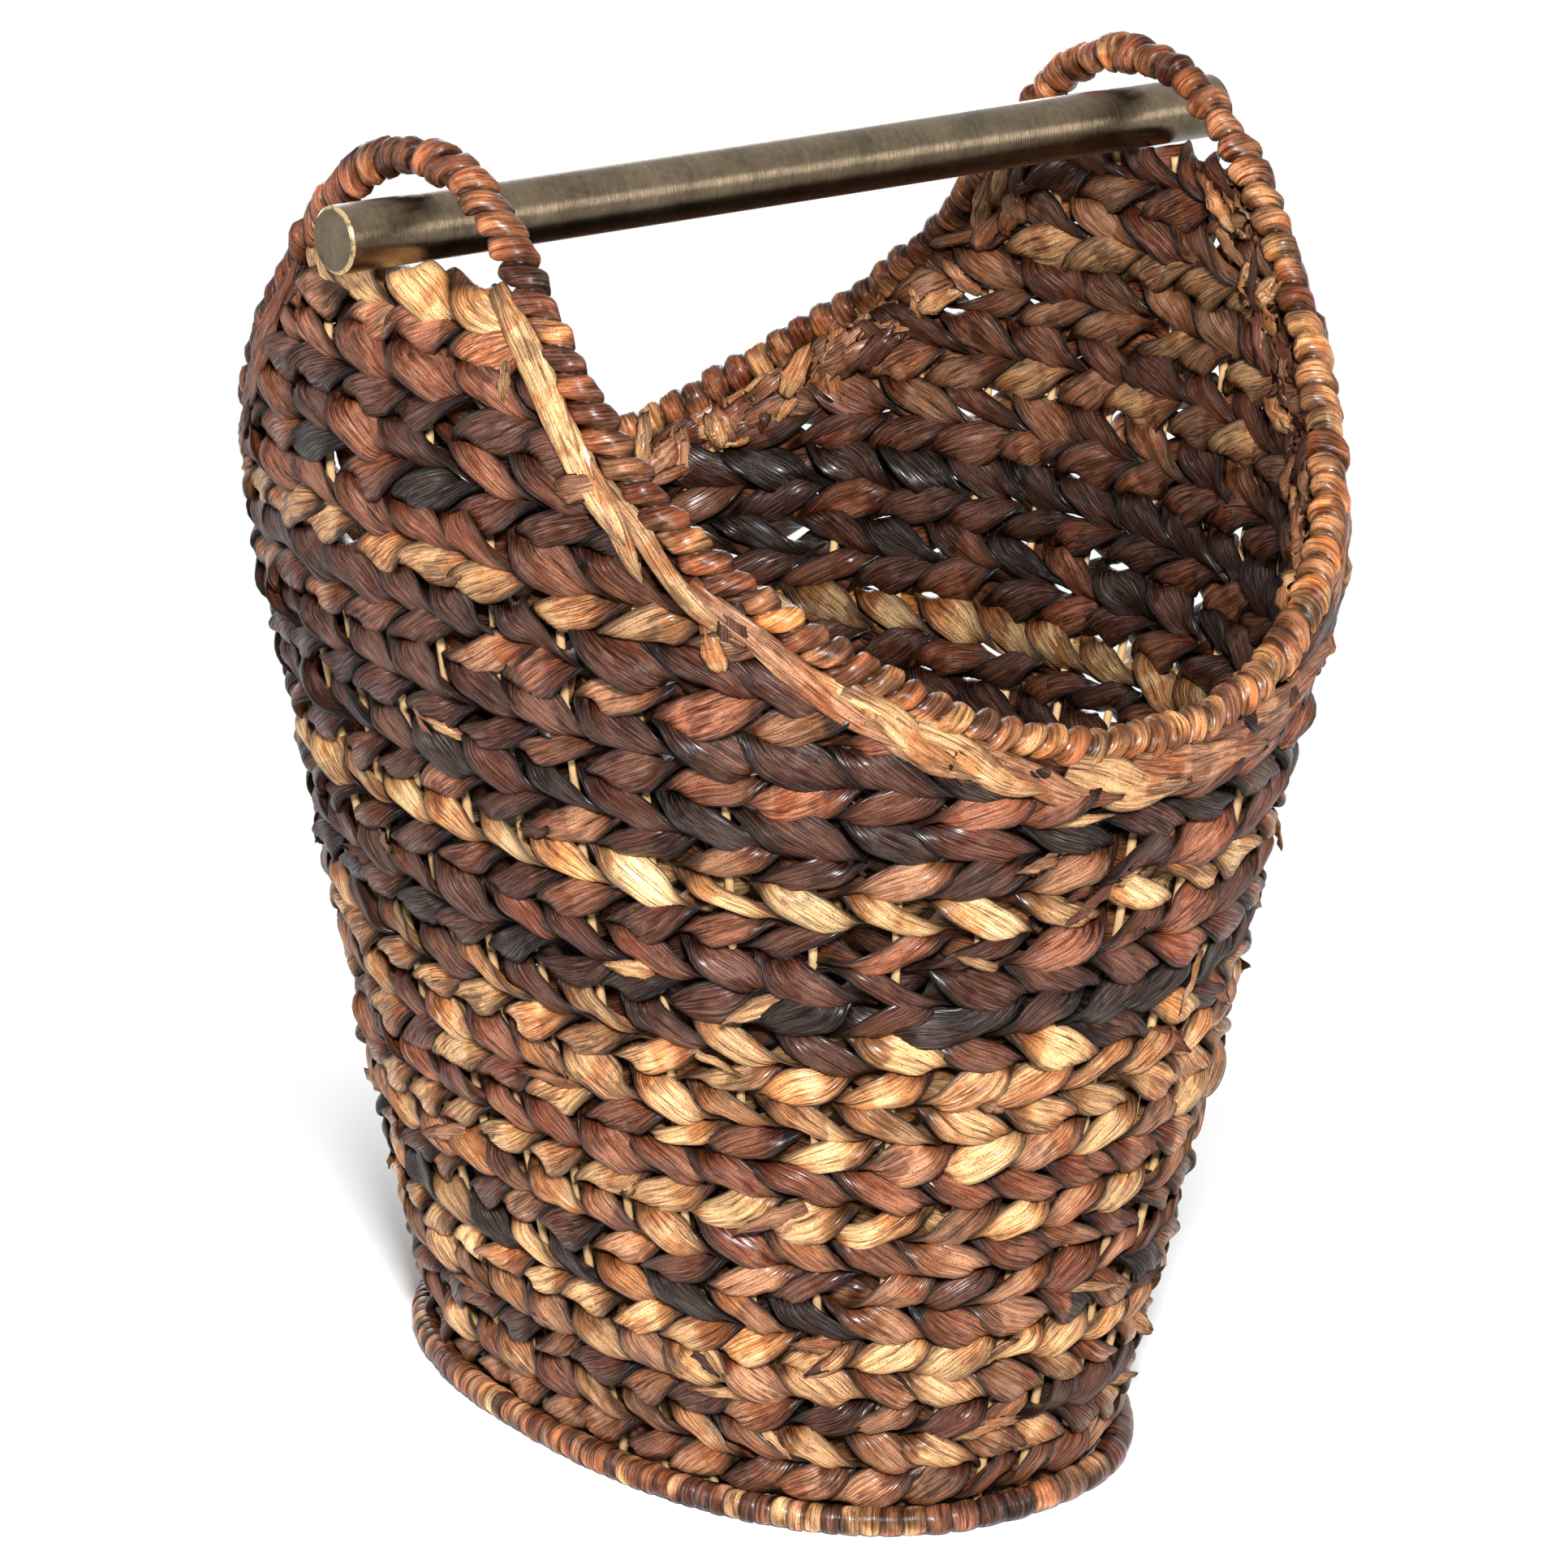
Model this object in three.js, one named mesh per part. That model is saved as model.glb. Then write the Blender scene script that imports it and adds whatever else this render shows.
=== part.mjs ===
// Woven toilet paper basket: an oval wall of leaf rows on reed stakes, a bound saddle-shaped rim
// that rises into two ear loops, and a metal roll bar that lies through the loops.
// Millimetres, +Z up. The origin is on the floor under the middle of the basket.
// X runs along the roll bar, Y from the front to the back.
import * as THREE from 'three';

// Oval of the stakes in plan
const FOOT_WIDTH = 176;
const FOOT_DEPTH = 264;
const MOUTH_WIDTH = 308;
const MOUTH_DEPTH = 361;
const OVAL_POWER = 2.27;
const FLARE_POWER = 0.9;
const EAR_LEAN = 36;

// Reed stakes, each rod bent under the base mat like a hairpin so that it gives two stakes
const STAKE_PAIRS = 19;
const STAKE_DIAMETER = 3;
const STAKE_SIDES = 4;
const STAKE_BEND = 4;
const STAKE_GRIP = 28;
const STAKE_RUNS = 6;
const STAKE_EAR_RUN = 24;

// Rows of weaving
const STRAND_THICKNESS = 3.4;
const ROW_HEIGHT = 10.2;
const ROW_GAP = 2.4;
const FOOT_GAP = 2;
const FULL_ROWS = 21;
const EAR_ROWS = 11;
const ROW_RISE_AT_EARS = 12;
const TURN_RISE = 0.75;

// Rim hoop and the strip wound round it
const RIM_CORE_DIAMETER = 10.2;
const RIM_CORE_SIDES = 6;
const RIM_STEPS = 100;
const RIM_EDGE_GAP = 3;
const EAR_SHARPNESS = 14;
const EAR_SHARE = 0.45;
const BINDING_TURNS = 90;
const BINDING_WIDTH = 9.6;
const BINDING_THICKNESS = 0.9;
const BINDING_CROWN = 0.8;

// Base ring and mat
const BASE_RING_DIAMETER = 10.6;
const BASE_RING_SIDES = 8;
const BASE_RING_STEPS = 48;
const MAT_THICKNESS = 5;
const MAT_POINTS = 48;

// Roll bar
const BAR_DIAMETER = 22;
const BAR_LENGTH = 380;
const BAR_CHAMFER = 1;
const BAR_SIDES = 24;
const LOOP_GAP = 3.5;

// Clearance between pieces that touch, and between the strip and the hoop inside it
const CLEARANCE = 0.3;
const BINDING_CLEARANCE = 0.45;

// Sizes that follow
const STAKE_COUNT = 2 * STAKE_PAIRS;
const STAKE_RADIUS = STAKE_DIAMETER / 2;
const STAKE_FLOOR = STAKE_RADIUS + CLEARANCE;
const ROW_PITCH = ROW_HEIGHT + ROW_GAP;
const FIRST_ROW = BASE_RING_DIAMETER + FOOT_GAP + ROW_HEIGHT / 2;
const STRAND_OFFSET = STAKE_RADIUS + CLEARANCE + STRAND_THICKNESS / 2;
const TURN_REACH = STRAND_OFFSET + STAKE_RADIUS + 2 * CLEARANCE;
const BINDING_BORE = RIM_CORE_DIAMETER / 2 + BINDING_CLEARANCE;
const RIM_RADIUS = BINDING_BORE + BINDING_THICKNESS + BINDING_CROWN;
const RIM_UNDERSIDE = RIM_RADIUS * Math.cos(Math.PI / RIM_CORE_SIDES);
const RIM_FRONT = FIRST_ROW + (FULL_ROWS - 1) * ROW_PITCH + ROW_HEIGHT / 2 + RIM_EDGE_GAP + RIM_RADIUS;
const TOP_ROW = FIRST_ROW + (FULL_ROWS + EAR_ROWS - 1) * ROW_PITCH + ROW_RISE_AT_EARS;
const BAR_AXIS = TOP_ROW + ROW_HEIGHT / 2 + CLEARANCE + BAR_DIAMETER / 2;
const RIM_PEAK = BAR_AXIS + BAR_DIAMETER / 2 + LOOP_GAP + RIM_RADIUS;
const UP = new THREE.Vector3(0, 0, 1);

const basket = new THREE.Group();

function addPart(name, geometry, material) {
  const mesh = new THREE.Mesh(geometry, material);
  mesh.name = name;
  basket.add(mesh);
  return mesh;
}

const leaf = (color) => new THREE.MeshStandardMaterial({ color, roughness: 0.6, metalness: 0 });
const reed = () => new THREE.MeshStandardMaterial({ color: 0xb58a55, roughness: 0.7, metalness: 0 });
const agedBrass = () => new THREE.MeshStandardMaterial({ color: 0x5d5040, roughness: 0.42, metalness: 0.9 });

// Half width and half depth of the oval of stakes at a height: it flares steadily from the foot,
// and above the low rim the ears lean back in.
function halfAxes(z) {
  const flare = Math.pow(Math.max(z, 0) / RIM_FRONT, FLARE_POWER);
  const ear = THREE.MathUtils.clamp((z - RIM_FRONT) / (RIM_PEAK - RIM_FRONT), 0, 1);
  const width = FOOT_WIDTH + (MOUTH_WIDTH - FOOT_WIDTH) * flare;
  const depth = FOOT_DEPTH + (MOUTH_DEPTH - FOOT_DEPTH) * flare;
  return [width / 2 - EAR_LEAN * ear * ear, depth / 2];
}

// A point on a superellipse, at an angle counted from +X towards +Y
function ovalPoint(halfWidth, halfDepth, angle, z) {
  const c = Math.cos(angle);
  const s = Math.sin(angle);
  const power = 2 / OVAL_POWER;
  return new THREE.Vector3(
    halfWidth * Math.sign(c) * Math.pow(Math.abs(c), power),
    halfDepth * Math.sign(s) * Math.pow(Math.abs(s), power),
    z,
  );
}

function wallPoint(angle, z) {
  const [halfWidth, halfDepth] = halfAxes(z);
  return ovalPoint(halfWidth, halfDepth, angle, z);
}

// Way up the wall at a point, along a stake
const wallUp = (angle, z) => wallPoint(angle, z + 1).sub(wallPoint(angle, z - 1)).normalize();

// Way along the wall at a point, at a level height
function wallAlong(angle, z) {
  const step = 0.002;
  return wallPoint(angle + step, z).sub(wallPoint(angle - step, z)).normalize();
}

// Outward normal of the wall
const wallNormal = (angle, z) => wallAlong(angle, z).cross(wallUp(angle, z)).normalize();

// Angles that stand at equal distances along the oval of a given height, half a space off the X axis
function evenAngles(count, z) {
  const samples = 1440;
  const lengths = [0];
  for (let i = 1; i <= samples; i += 1) {
    const from = wallPoint((2 * Math.PI * (i - 1)) / samples, z);
    lengths.push(lengths[i - 1] + from.distanceTo(wallPoint((2 * Math.PI * i) / samples, z)));
  }
  const angles = [];
  let i = 1;
  for (let k = 0; k < count; k += 1) {
    const target = (lengths[samples] * (k + 0.5)) / count;
    while (lengths[i] < target) i += 1;
    const part = (target - lengths[i - 1]) / (lengths[i] - lengths[i - 1]);
    angles.push((2 * Math.PI * (i - 1 + part)) / samples);
  }
  return angles;
}

const STAKE_ANGLES = evenAngles(STAKE_COUNT, RIM_FRONT / 2);

// Height of the rim's centre line: low at the front and back, a narrow peak at each ear
function rimHeight(angle) {
  const c = Math.abs(Math.cos(angle));
  const rise = EAR_SHARE * Math.pow(c, EAR_SHARPNESS) + (1 - EAR_SHARE) * c * c;
  return RIM_FRONT + (RIM_PEAK - RIM_FRONT) * rise;
}

const rimPoint = (angle) => wallPoint(angle, rimHeight(angle));

// Highest place under the bound rim for a thing that reaches a given distance to each side of an angle
function heightUnderRim(angle, reach) {
  const step = 0.01;
  const rise = rimPoint(angle + step).sub(rimPoint(angle - step));
  const slope = Math.abs(rise.z) / Math.hypot(rise.x, rise.y);
  return rimHeight(angle) - (RIM_UNDERSIDE + CLEARANCE) * Math.hypot(1, slope) - slope * reach;
}

// Joins rings of points into one closed skin. A closed loop joins its last ring to its first,
// and an open one is capped at both ends.
function skin(rings, closed) {
  const sides = rings[0].length;
  const positions = rings.flat().flatMap((p) => [p.x, p.y, p.z]);
  const index = [];
  const spans = closed ? rings.length : rings.length - 1;
  for (let i = 0; i < spans; i += 1) {
    const here = i * sides;
    const next = ((i + 1) % rings.length) * sides;
    for (let j = 0; j < sides; j += 1) {
      const k = (j + 1) % sides;
      index.push(here + j, next + k, next + j, here + j, here + k, next + k);
    }
  }
  const last = (rings.length - 1) * sides;
  for (let j = 1; !closed && j < sides - 1; j += 1) {
    index.push(0, j + 1, j, last, last + j, last + j + 1);
  }
  const geometry = new THREE.BufferGeometry();
  geometry.setAttribute('position', new THREE.Float32BufferAttribute(positions, 3));
  geometry.setIndex(index);
  geometry.computeVertexNormals();
  return geometry;
}

// Direction of travel at each point of a path, taken between its neighbours
function tangents(path, closed) {
  const n = path.length;
  return path.map((p, i) => {
    const before = closed ? path[(i + n - 1) % n] : path[Math.max(i - 1, 0)];
    const after = closed ? path[(i + 1) % n] : path[Math.min(i + 1, n - 1)];
    return after.clone().sub(before).normalize();
  });
}

// Carries a section along a path, square to it and upright, or leaning as the wall leans at each point.
// Section points are [left of travel, up].
function uprightSweep(path, section, closed, lean = []) {
  const along = tangents(path, closed);
  const rings = path.map((p, i) => {
    const left = (lean[i] ?? UP).clone().cross(along[i]).normalize();
    const up = lean[i] ?? along[i].clone().cross(left);
    return section.map(([u, v]) => p.clone().addScaledVector(left, u).addScaledVector(up, v));
  });
  return skin(rings, closed);
}

// Carries a section along an open path that turns any way in space, without twisting it.
// Each corner's ring lies in the plane that halves the corner.
function rodSweep(path, section) {
  const legs = path.slice(1).map((p, i) => p.clone().sub(path[i]).normalize());
  const side = legs[0].clone().cross(new THREE.Vector3(0.3, 0.7, 0.2)).normalize();
  const rings = [];
  path.forEach((p, i) => {
    const leg = legs[Math.max(i - 1, 0)];
    const corner = leg.clone().add(legs[Math.min(i, legs.length - 1)]).normalize();
    const other = leg.clone().cross(side);
    rings.push(section.map(([u, v]) => {
      const spot = side.clone().multiplyScalar(u).addScaledVector(other, v);
      return p.clone().add(spot.addScaledVector(leg, -spot.dot(corner) / leg.dot(corner)));
    }));
    if (i > 0 && i < legs.length) {
      side.applyQuaternion(new THREE.Quaternion().setFromUnitVectors(leg, legs[i]));
    }
  });
  return skin(rings, false);
}

// Where the corners of a regular section lie when it has a flat side down
const cornerTurn = (i, sides) => -Math.PI / 2 + ((i + 0.5) * 2 * Math.PI) / sides;

function roundSection(radius, sides) {
  return Array.from({ length: sides }, (_, i) => {
    const turn = cornerTurn(i, sides);
    return [radius * Math.cos(turn), radius * Math.sin(turn)];
  });
}

// Cuts each inner corner of a path so that the rod bends instead of folding
function softCorners(path, cut) {
  return path.flatMap((p, i) => {
    if (i === 0 || i === path.length - 1) return [p];
    const back = path[i - 1].clone().sub(p);
    const on = path[i + 1].clone().sub(p);
    if (back.angleTo(on) > 0.8 * Math.PI) return [p];
    return [p.clone().addScaledVector(back.normalize(), cut), p.clone().addScaledVector(on.normalize(), cut)];
  });
}

// Roll bar: one turned rod with chamfered ends
function rollBar() {
  const radius = BAR_DIAMETER / 2;
  const end = BAR_LENGTH / 2;
  const profile = [
    [0, -end],
    [radius - BAR_CHAMFER, -end],
    [radius, -end + BAR_CHAMFER],
    [radius, end - BAR_CHAMFER],
    [radius - BAR_CHAMFER, end],
    [0, end],
  ].map(([x, y]) => new THREE.Vector2(x, y));
  return new THREE.LatheGeometry(profile, BAR_SIDES);
}

const bar = addPart('roll_bar', rollBar(), agedBrass());
bar.rotation.z = -Math.PI / 2;
bar.position.z = BAR_AXIS;

// Points of the rim's centre line, closer together where the ears turn sharply
function rimPath() {
  return Array.from({ length: RIM_STEPS }, (_, i) => {
    const turn = (2 * Math.PI * i) / RIM_STEPS;
    return rimPoint(turn - 0.25 * Math.sin(2 * turn));
  });
}

const RIM_PATH = rimPath();
addPart('rim_core', uprightSweep(RIM_PATH, roundSection(RIM_CORE_DIAMETER / 2, RIM_CORE_SIDES), true), reed());

// Rim binding: one flat strip wound round the hoop, crowned along its middle.
// Its steps fall on the hoop's corners, so each span of it lies flat on a side of the hoop.
function rimBinding() {
  const loop = new THREE.CatmullRomCurve3(RIM_PATH, true, 'chordal');
  loop.arcLengthDivisions = 8 * RIM_STEPS;
  const steps = BINDING_TURNS * RIM_CORE_SIDES;
  const half = BINDING_WIDTH / 2;
  const section = [
    [-half, 0],
    [half, 0],
    [half, BINDING_THICKNESS],
    [0, BINDING_THICKNESS + BINDING_CROWN],
    [-half, BINDING_THICKNESS],
  ];
  const rings = Array.from({ length: steps - 1 }, (_, i) => {
    const travel = i / steps;
    const turn = cornerTurn(i, RIM_CORE_SIDES);
    const ahead = loop.getTangentAt(travel);
    const left = UP.clone().cross(ahead).normalize();
    const up = ahead.clone().cross(left);
    const out = left.multiplyScalar(Math.cos(turn)).addScaledVector(up, Math.sin(turn));
    const middle = loop.getPointAt(travel).addScaledVector(out, BINDING_BORE);
    return section.map(([u, v]) => middle.clone().addScaledVector(ahead, u).addScaledVector(out, v));
  });
  return rings;
}

// Least distance between edges of the strip one turn apart, on the strip's own points
function leastTurnGap(rings) {
  let least = Infinity;
  for (let i = 0; i + RIM_CORE_SIDES < rings.length; i += 1) {
    const edge = [rings[i][1], rings[i][2]];
    const next = [rings[i + RIM_CORE_SIDES][0], rings[i + RIM_CORE_SIDES][4]];
    edge.forEach((p) => next.forEach((q) => {
      least = Math.min(least, p.distanceTo(q));
    }));
  }
  return least;
}

const BINDING_RINGS = rimBinding();
console.log(`rim binding: least gap between turns ${leastTurnGap(BINDING_RINGS).toFixed(2)} mm`);
addPart('rim_binding', skin(BINDING_RINGS, false), leaf(0x7d4f2e));

// Base ring: a wrapped hoop round the foot, outside the stakes, flat underneath
function baseRing() {
  const radius = BASE_RING_DIAMETER / 2;
  const flatRadius = radius / Math.cos(Math.PI / BASE_RING_SIDES);
  const [halfWidth, halfDepth] = halfAxes(BASE_RING_DIAMETER);
  const out = STAKE_RADIUS + CLEARANCE + flatRadius;
  const path = Array.from({ length: BASE_RING_STEPS }, (_, i) => {
    const angle = (2 * Math.PI * i) / BASE_RING_STEPS;
    return ovalPoint(halfWidth + out, halfDepth + out, angle, radius);
  });
  return uprightSweep(path, roundSection(flatRadius, BASE_RING_SIDES), true);
}

addPart('base_ring', baseRing(), leaf(0x5f3a22));

// Base mat: the floor, inside the bends of the stakes and on their turned-in ends
function baseMat() {
  const [halfWidth, halfDepth] = halfAxes(STAKE_FLOOR);
  const inset = STAKE_BEND + STAKE_RADIUS + CLEARANCE;
  const outline = Array.from({ length: MAT_POINTS }, (_, i) => {
    const p = ovalPoint(halfWidth - inset, halfDepth - inset, (2 * Math.PI * i) / MAT_POINTS, 0);
    return new THREE.Vector2(p.x, p.y);
  });
  return new THREE.ExtrudeGeometry(new THREE.Shape(outline), { depth: MAT_THICKNESS, bevelEnabled: false });
}

const mat = addPart('base_mat', baseMat(), leaf(0x7a5230));
mat.position.z = STAKE_FLOOR + STAKE_RADIUS + CLEARANCE;

// Height of a row of weaving: level at the front and back, a little higher towards the ears
function rowHeight(row, angle) {
  const c = Math.cos(angle);
  return FIRST_ROW + row * ROW_PITCH + ROW_RISE_AT_EARS * Math.min(row / FULL_ROWS, 1) * c * c;
}

// A place where a strand passes a stake, outside it (side 1) or inside it (side -1)
function passStake(angle, z, side) {
  return wallPoint(angle, z).addScaledVector(wallNormal(angle, z), side * STRAND_OFFSET);
}

const STRAND_SECTION = [
  [-STRAND_THICKNESS / 2, -ROW_HEIGHT / 2],
  [STRAND_THICKNESS / 2, -ROW_HEIGHT / 2],
  [STRAND_THICKNESS / 2, ROW_HEIGHT / 2],
  [-STRAND_THICKNESS / 2, ROW_HEIGHT / 2],
];

// Closed rows: the strand passes outside one stake and inside the next, and the row above is the other way
const ROW_COLOURS = [0x4a2c1d, 0x6e4427, 0x3a2420, 0x8a5d33, 0x54331f];
for (let row = 0; row < FULL_ROWS; row += 1) {
  const path = STAKE_ANGLES.map((angle, k) => passStake(angle, rowHeight(row, angle), (k + row) % 2 ? 1 : -1));
  const lean = STAKE_ANGLES.map((angle) => wallUp(angle, rowHeight(row, angle)));
  const name = `weave_row_${String(row + 1).padStart(2, '0')}`;
  addPart(name, uprightSweep(path, STRAND_SECTION, true, lean), leaf(ROW_COLOURS[row % ROW_COLOURS.length]));
}

// How far past its last stake a row can run before it meets the rim or the next stake
function turnReach(angle, way, top) {
  const step = 0.01;
  const spacing = wallPoint(0, RIM_FRONT).distanceTo(wallPoint(STAKE_ANGLES[0], RIM_FRONT)) * 2;
  const limit = spacing - STAKE_RADIUS - CLEARANCE - STRAND_THICKNESS;
  const turnPerLength = (2 * step) / wallPoint(angle + step, top).distanceTo(wallPoint(angle - step, top));
  let reach = TURN_REACH;
  while (reach + 1 < limit && heightUnderRim(angle + way * turnPerLength * (reach + 1), STRAND_THICKNESS) >= top) {
    reach += 1;
  }
  return reach;
}

// Ear rows: one strand runs to and fro across the ear. At the end of a row it runs on past the last stake
// that stands clear under the rim, folds back round that stake and climbs to the next row.
function earWeave(middleAngle) {
  const reach = TURN_REACH + STRAND_THICKNESS / 2;
  const fold = STRAND_THICKNESS / 2 + 2 * CLEARANCE;
  const half = STAKE_ANGLES.slice(0, Math.floor(STAKE_PAIRS / 2));
  const climb = TURN_RISE * ROW_PITCH + ROW_HEIGHT / 2;
  const stakeAngle = (j) => middleAngle + (j < 0 ? -half[-1 - j] : half[j]);
  const row = (level) => FULL_ROWS + level;
  const reachOf = (level) => half.filter((angle) =>
    heightUnderRim(angle, reach) >= rowHeight(row(level), angle) + climb).length;
  const path = [];
  const lean = [];
  const pass = (angle, z, side) => {
    path.push(passStake(angle, z, side));
    lean.push(wallUp(angle, z));
  };
  for (let level = 0; level < EAR_ROWS; level += 1) {
    const way = level % 2 ? -1 : 1;
    const span = reachOf(level);
    const first = way > 0 ? -span : span - 1;
    for (let i = 0; i < 2 * span; i += 1) {
      const j = first + way * i;
      const angle = stakeAngle(j);
      pass(angle, rowHeight(row(level), angle), (j + level) % 2 ? 1 : -1);
    }
    if (level === EAR_ROWS - 1) break;
    const end = way > 0 ? span - 1 : -span;
    const shorter = span - reachOf(level + 1);
    const side = (end + level) % 2 ? 1 : -1;
    const endAngle = stakeAngle(end);
    const endHeight = rowHeight(row(level), endAngle);
    const past = turnReach(endAngle, way, endHeight + climb);
    [[past - fold, fold], [past, 0], [past - fold, -fold]].forEach(([on, out], i) => {
      const z = endHeight + (TURN_RISE * ROW_PITCH * (i + 1)) / 4;
      const spot = wallPoint(endAngle, z).addScaledVector(wallAlong(endAngle, z), way * on);
      path.push(spot.addScaledVector(wallNormal(endAngle, z), side * out));
      lean.push(wallUp(endAngle, z));
    });
    for (let i = 0; i < shorter; i += 1) {
      const angle = stakeAngle(end - way * i);
      const up = TURN_RISE + ((1 - TURN_RISE) * i) / shorter;
      pass(angle, rowHeight(row(level), angle) + up * ROW_PITCH, i % 2 ? side : -side);
    }
  }
  return uprightSweep(path, STRAND_SECTION, false, lean);
}

addPart('right_ear_weave', earWeave(0), leaf(0x5a3822));
addPart('left_ear_weave', earWeave(Math.PI), leaf(0x61401f));

// Stakes stop under the rim, or at the top of the ear weave where the loop is open for the bar
function stakeTop(angle) {
  const topRow = FIRST_ROW + (FULL_ROWS + EAR_ROWS - 1) * ROW_PITCH + ROW_RISE_AT_EARS * Math.cos(angle) ** 2;
  return Math.min(heightUnderRim(angle, STAKE_RADIUS), topRow + ROW_HEIGHT / 2);
}

// A stake's line from its top down to the foot, then in under the base mat
function stakeLine(angle) {
  const top = stakeTop(angle);
  const low = Math.min(top, RIM_FRONT);
  const earRuns = Math.ceil((top - low) / STAKE_EAR_RUN);
  const heights = [];
  for (let i = 0; i < earRuns; i += 1) heights.push(top - ((top - low) * i) / earRuns);
  for (let i = STAKE_RUNS; i >= 0; i -= 1) heights.push(STAKE_FLOOR + (low - STAKE_FLOOR) * (i / STAKE_RUNS) ** 2);
  const line = heights.map((z) => wallPoint(angle, z));
  const foot = line[line.length - 1];
  const inward = wallAlong(angle, STAKE_FLOOR).cross(UP).multiplyScalar(-STAKE_GRIP).add(foot);
  return [...line, inward];
}

for (let pair = 0; pair < STAKE_PAIRS; pair += 1) {
  const down = stakeLine(STAKE_ANGLES[2 * pair]);
  const back = stakeLine(STAKE_ANGLES[2 * pair + 1]).reverse();
  const path = softCorners([...down, ...back], STAKE_BEND);
  const name = `stake_pair_${String(pair + 1).padStart(2, '0')}`;
  addPart(name, rodSweep(path, roundSection(STAKE_RADIUS, STAKE_SIDES)), reed());
}

export default basket;
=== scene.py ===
import bpy
import numpy as np
from mathutils import Matrix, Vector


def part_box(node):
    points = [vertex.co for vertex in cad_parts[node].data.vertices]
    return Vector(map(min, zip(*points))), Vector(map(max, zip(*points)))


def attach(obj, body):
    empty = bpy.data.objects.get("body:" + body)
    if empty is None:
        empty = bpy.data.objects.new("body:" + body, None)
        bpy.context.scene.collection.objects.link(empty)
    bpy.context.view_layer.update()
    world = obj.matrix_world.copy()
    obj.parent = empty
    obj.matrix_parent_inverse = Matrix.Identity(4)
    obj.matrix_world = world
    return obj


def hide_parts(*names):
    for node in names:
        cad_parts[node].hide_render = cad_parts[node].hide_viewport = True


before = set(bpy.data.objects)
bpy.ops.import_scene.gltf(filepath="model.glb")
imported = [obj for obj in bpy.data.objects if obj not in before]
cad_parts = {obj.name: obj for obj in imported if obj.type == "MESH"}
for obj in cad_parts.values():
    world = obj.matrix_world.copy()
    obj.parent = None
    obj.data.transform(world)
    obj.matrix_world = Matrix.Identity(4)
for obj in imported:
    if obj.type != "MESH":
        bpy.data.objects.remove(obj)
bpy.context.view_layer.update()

# Reed stakes: thin pale rods of split reed that stand in the wall from the foot to the rim.
# They stay round and bare. Each rod makes two stakes: it is bent in at the foot and runs on under the floor.
FOOT_WIDTH = 0.176
FOOT_DEPTH = 0.264
MOUTH_WIDTH = 0.308
MOUTH_DEPTH = 0.361
OVAL_POWER = 2.27
FLARE_POWER = 0.9
EAR_LEAN = 0.036
EAR_SHARPNESS = 14
EAR_SHARE = 0.45
RIM_FRONT = 0.28505
RIM_PEAK = 0.45845
STAKE_COUNT = 38
STAKE_RADIUS = 0.0015
STAKE_FLOOR = 0.0018
STAKE_GRIP = 0.028
STAKE_STEP = 0.003
STAKE_LEG_STEPS = 90
STAKE_SIDES = 10
STAKE_LEAN_AT = 0.02
STAKE_LEAN_SIDE = 0.6
STAKE_LEAN_UP = 0.5
STAKE_UNDER_RIM = 0.0068
STAKE_EAR_TOP = 0.4245
REED_PALE = (0.62, 0.42, 0.2, 1)
REED_DARK = (0.34, 0.19, 0.08, 1)
REED_GRAIN = (900, 900, 40)
REED_BUMP = 0.0004
TURN = 2 * np.pi
NUDGE = 1e-4
RING_STEPS = 4000


def unit(vectors):
    """Each vector over its own length."""
    return vectors / np.linalg.norm(vectors, axis=-1, keepdims=True)


def half_axes(z):
    """Half width and half depth of the wall: they grow with a power of the height, and the ears lean in."""
    flare = (np.maximum(z, 0) / RIM_FRONT) ** FLARE_POWER
    ear = np.clip((z - RIM_FRONT) / (RIM_PEAK - RIM_FRONT), 0, 1)
    half_width = (FOOT_WIDTH + (MOUTH_WIDTH - FOOT_WIDTH) * flare) / 2 - EAR_LEAN * ear**2
    half_depth = (FOOT_DEPTH + (MOUTH_DEPTH - FOOT_DEPTH) * flare) / 2
    return half_width, half_depth


def oval_point(half_width, half_depth, angle, z):
    """A point of the squared oval: each axis takes the cosine or sine to the power of 2 over OVAL_POWER."""
    across, deep = np.cos(angle), np.sin(angle)
    x = half_width * np.sign(across) * np.abs(across) ** (2 / OVAL_POWER)
    y = half_depth * np.sign(deep) * np.abs(deep) ** (2 / OVAL_POWER)
    return np.stack([x, y, z + 0 * x], -1)


def wall_point(angle, z):
    """A point of the middle of the wall, by the angle round the oval and the height."""
    return oval_point(*half_axes(z), angle, z)


def wall_frame(angle, z):
    """A point of the wall, its way out of the wall and its way up the wall, from small steps to each side."""
    along = wall_point(angle + NUDGE, z) - wall_point(angle - NUDGE, z)
    up = wall_point(angle, z + NUDGE) - wall_point(angle, z - NUDGE)
    return wall_point(angle, z), unit(np.cross(along, up)), unit(up)


def rim_height(angle):
    """Height of the rim: low at the front and back, and raised to a loop at each ear."""
    across = np.abs(np.cos(angle))
    rise = EAR_SHARE * across**EAR_SHARPNESS + (1 - EAR_SHARE) * across**2
    return RIM_FRONT + (RIM_PEAK - RIM_FRONT) * rise


def run_length(path):
    """Length along a path at each of its points."""
    steps = np.linalg.norm(np.diff(path, axis=0), axis=1)
    return np.concatenate([[0], np.cumsum(steps)])


RING_ANGLES = np.linspace(0, TURN, RING_STEPS + 1)
RING_LENGTHS = run_length(wall_point(RING_ANGLES, RIM_FRONT / 2))


def stake_angle(count):
    """Angle round the oval at a count of stakes, which stand at equal lengths along it at half height."""
    turns, part = np.divmod((count + 0.5) / STAKE_COUNT, 1)
    return TURN * turns + np.interp(part * RING_LENGTHS[-1], RING_LENGTHS, RING_ANGLES)


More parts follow.
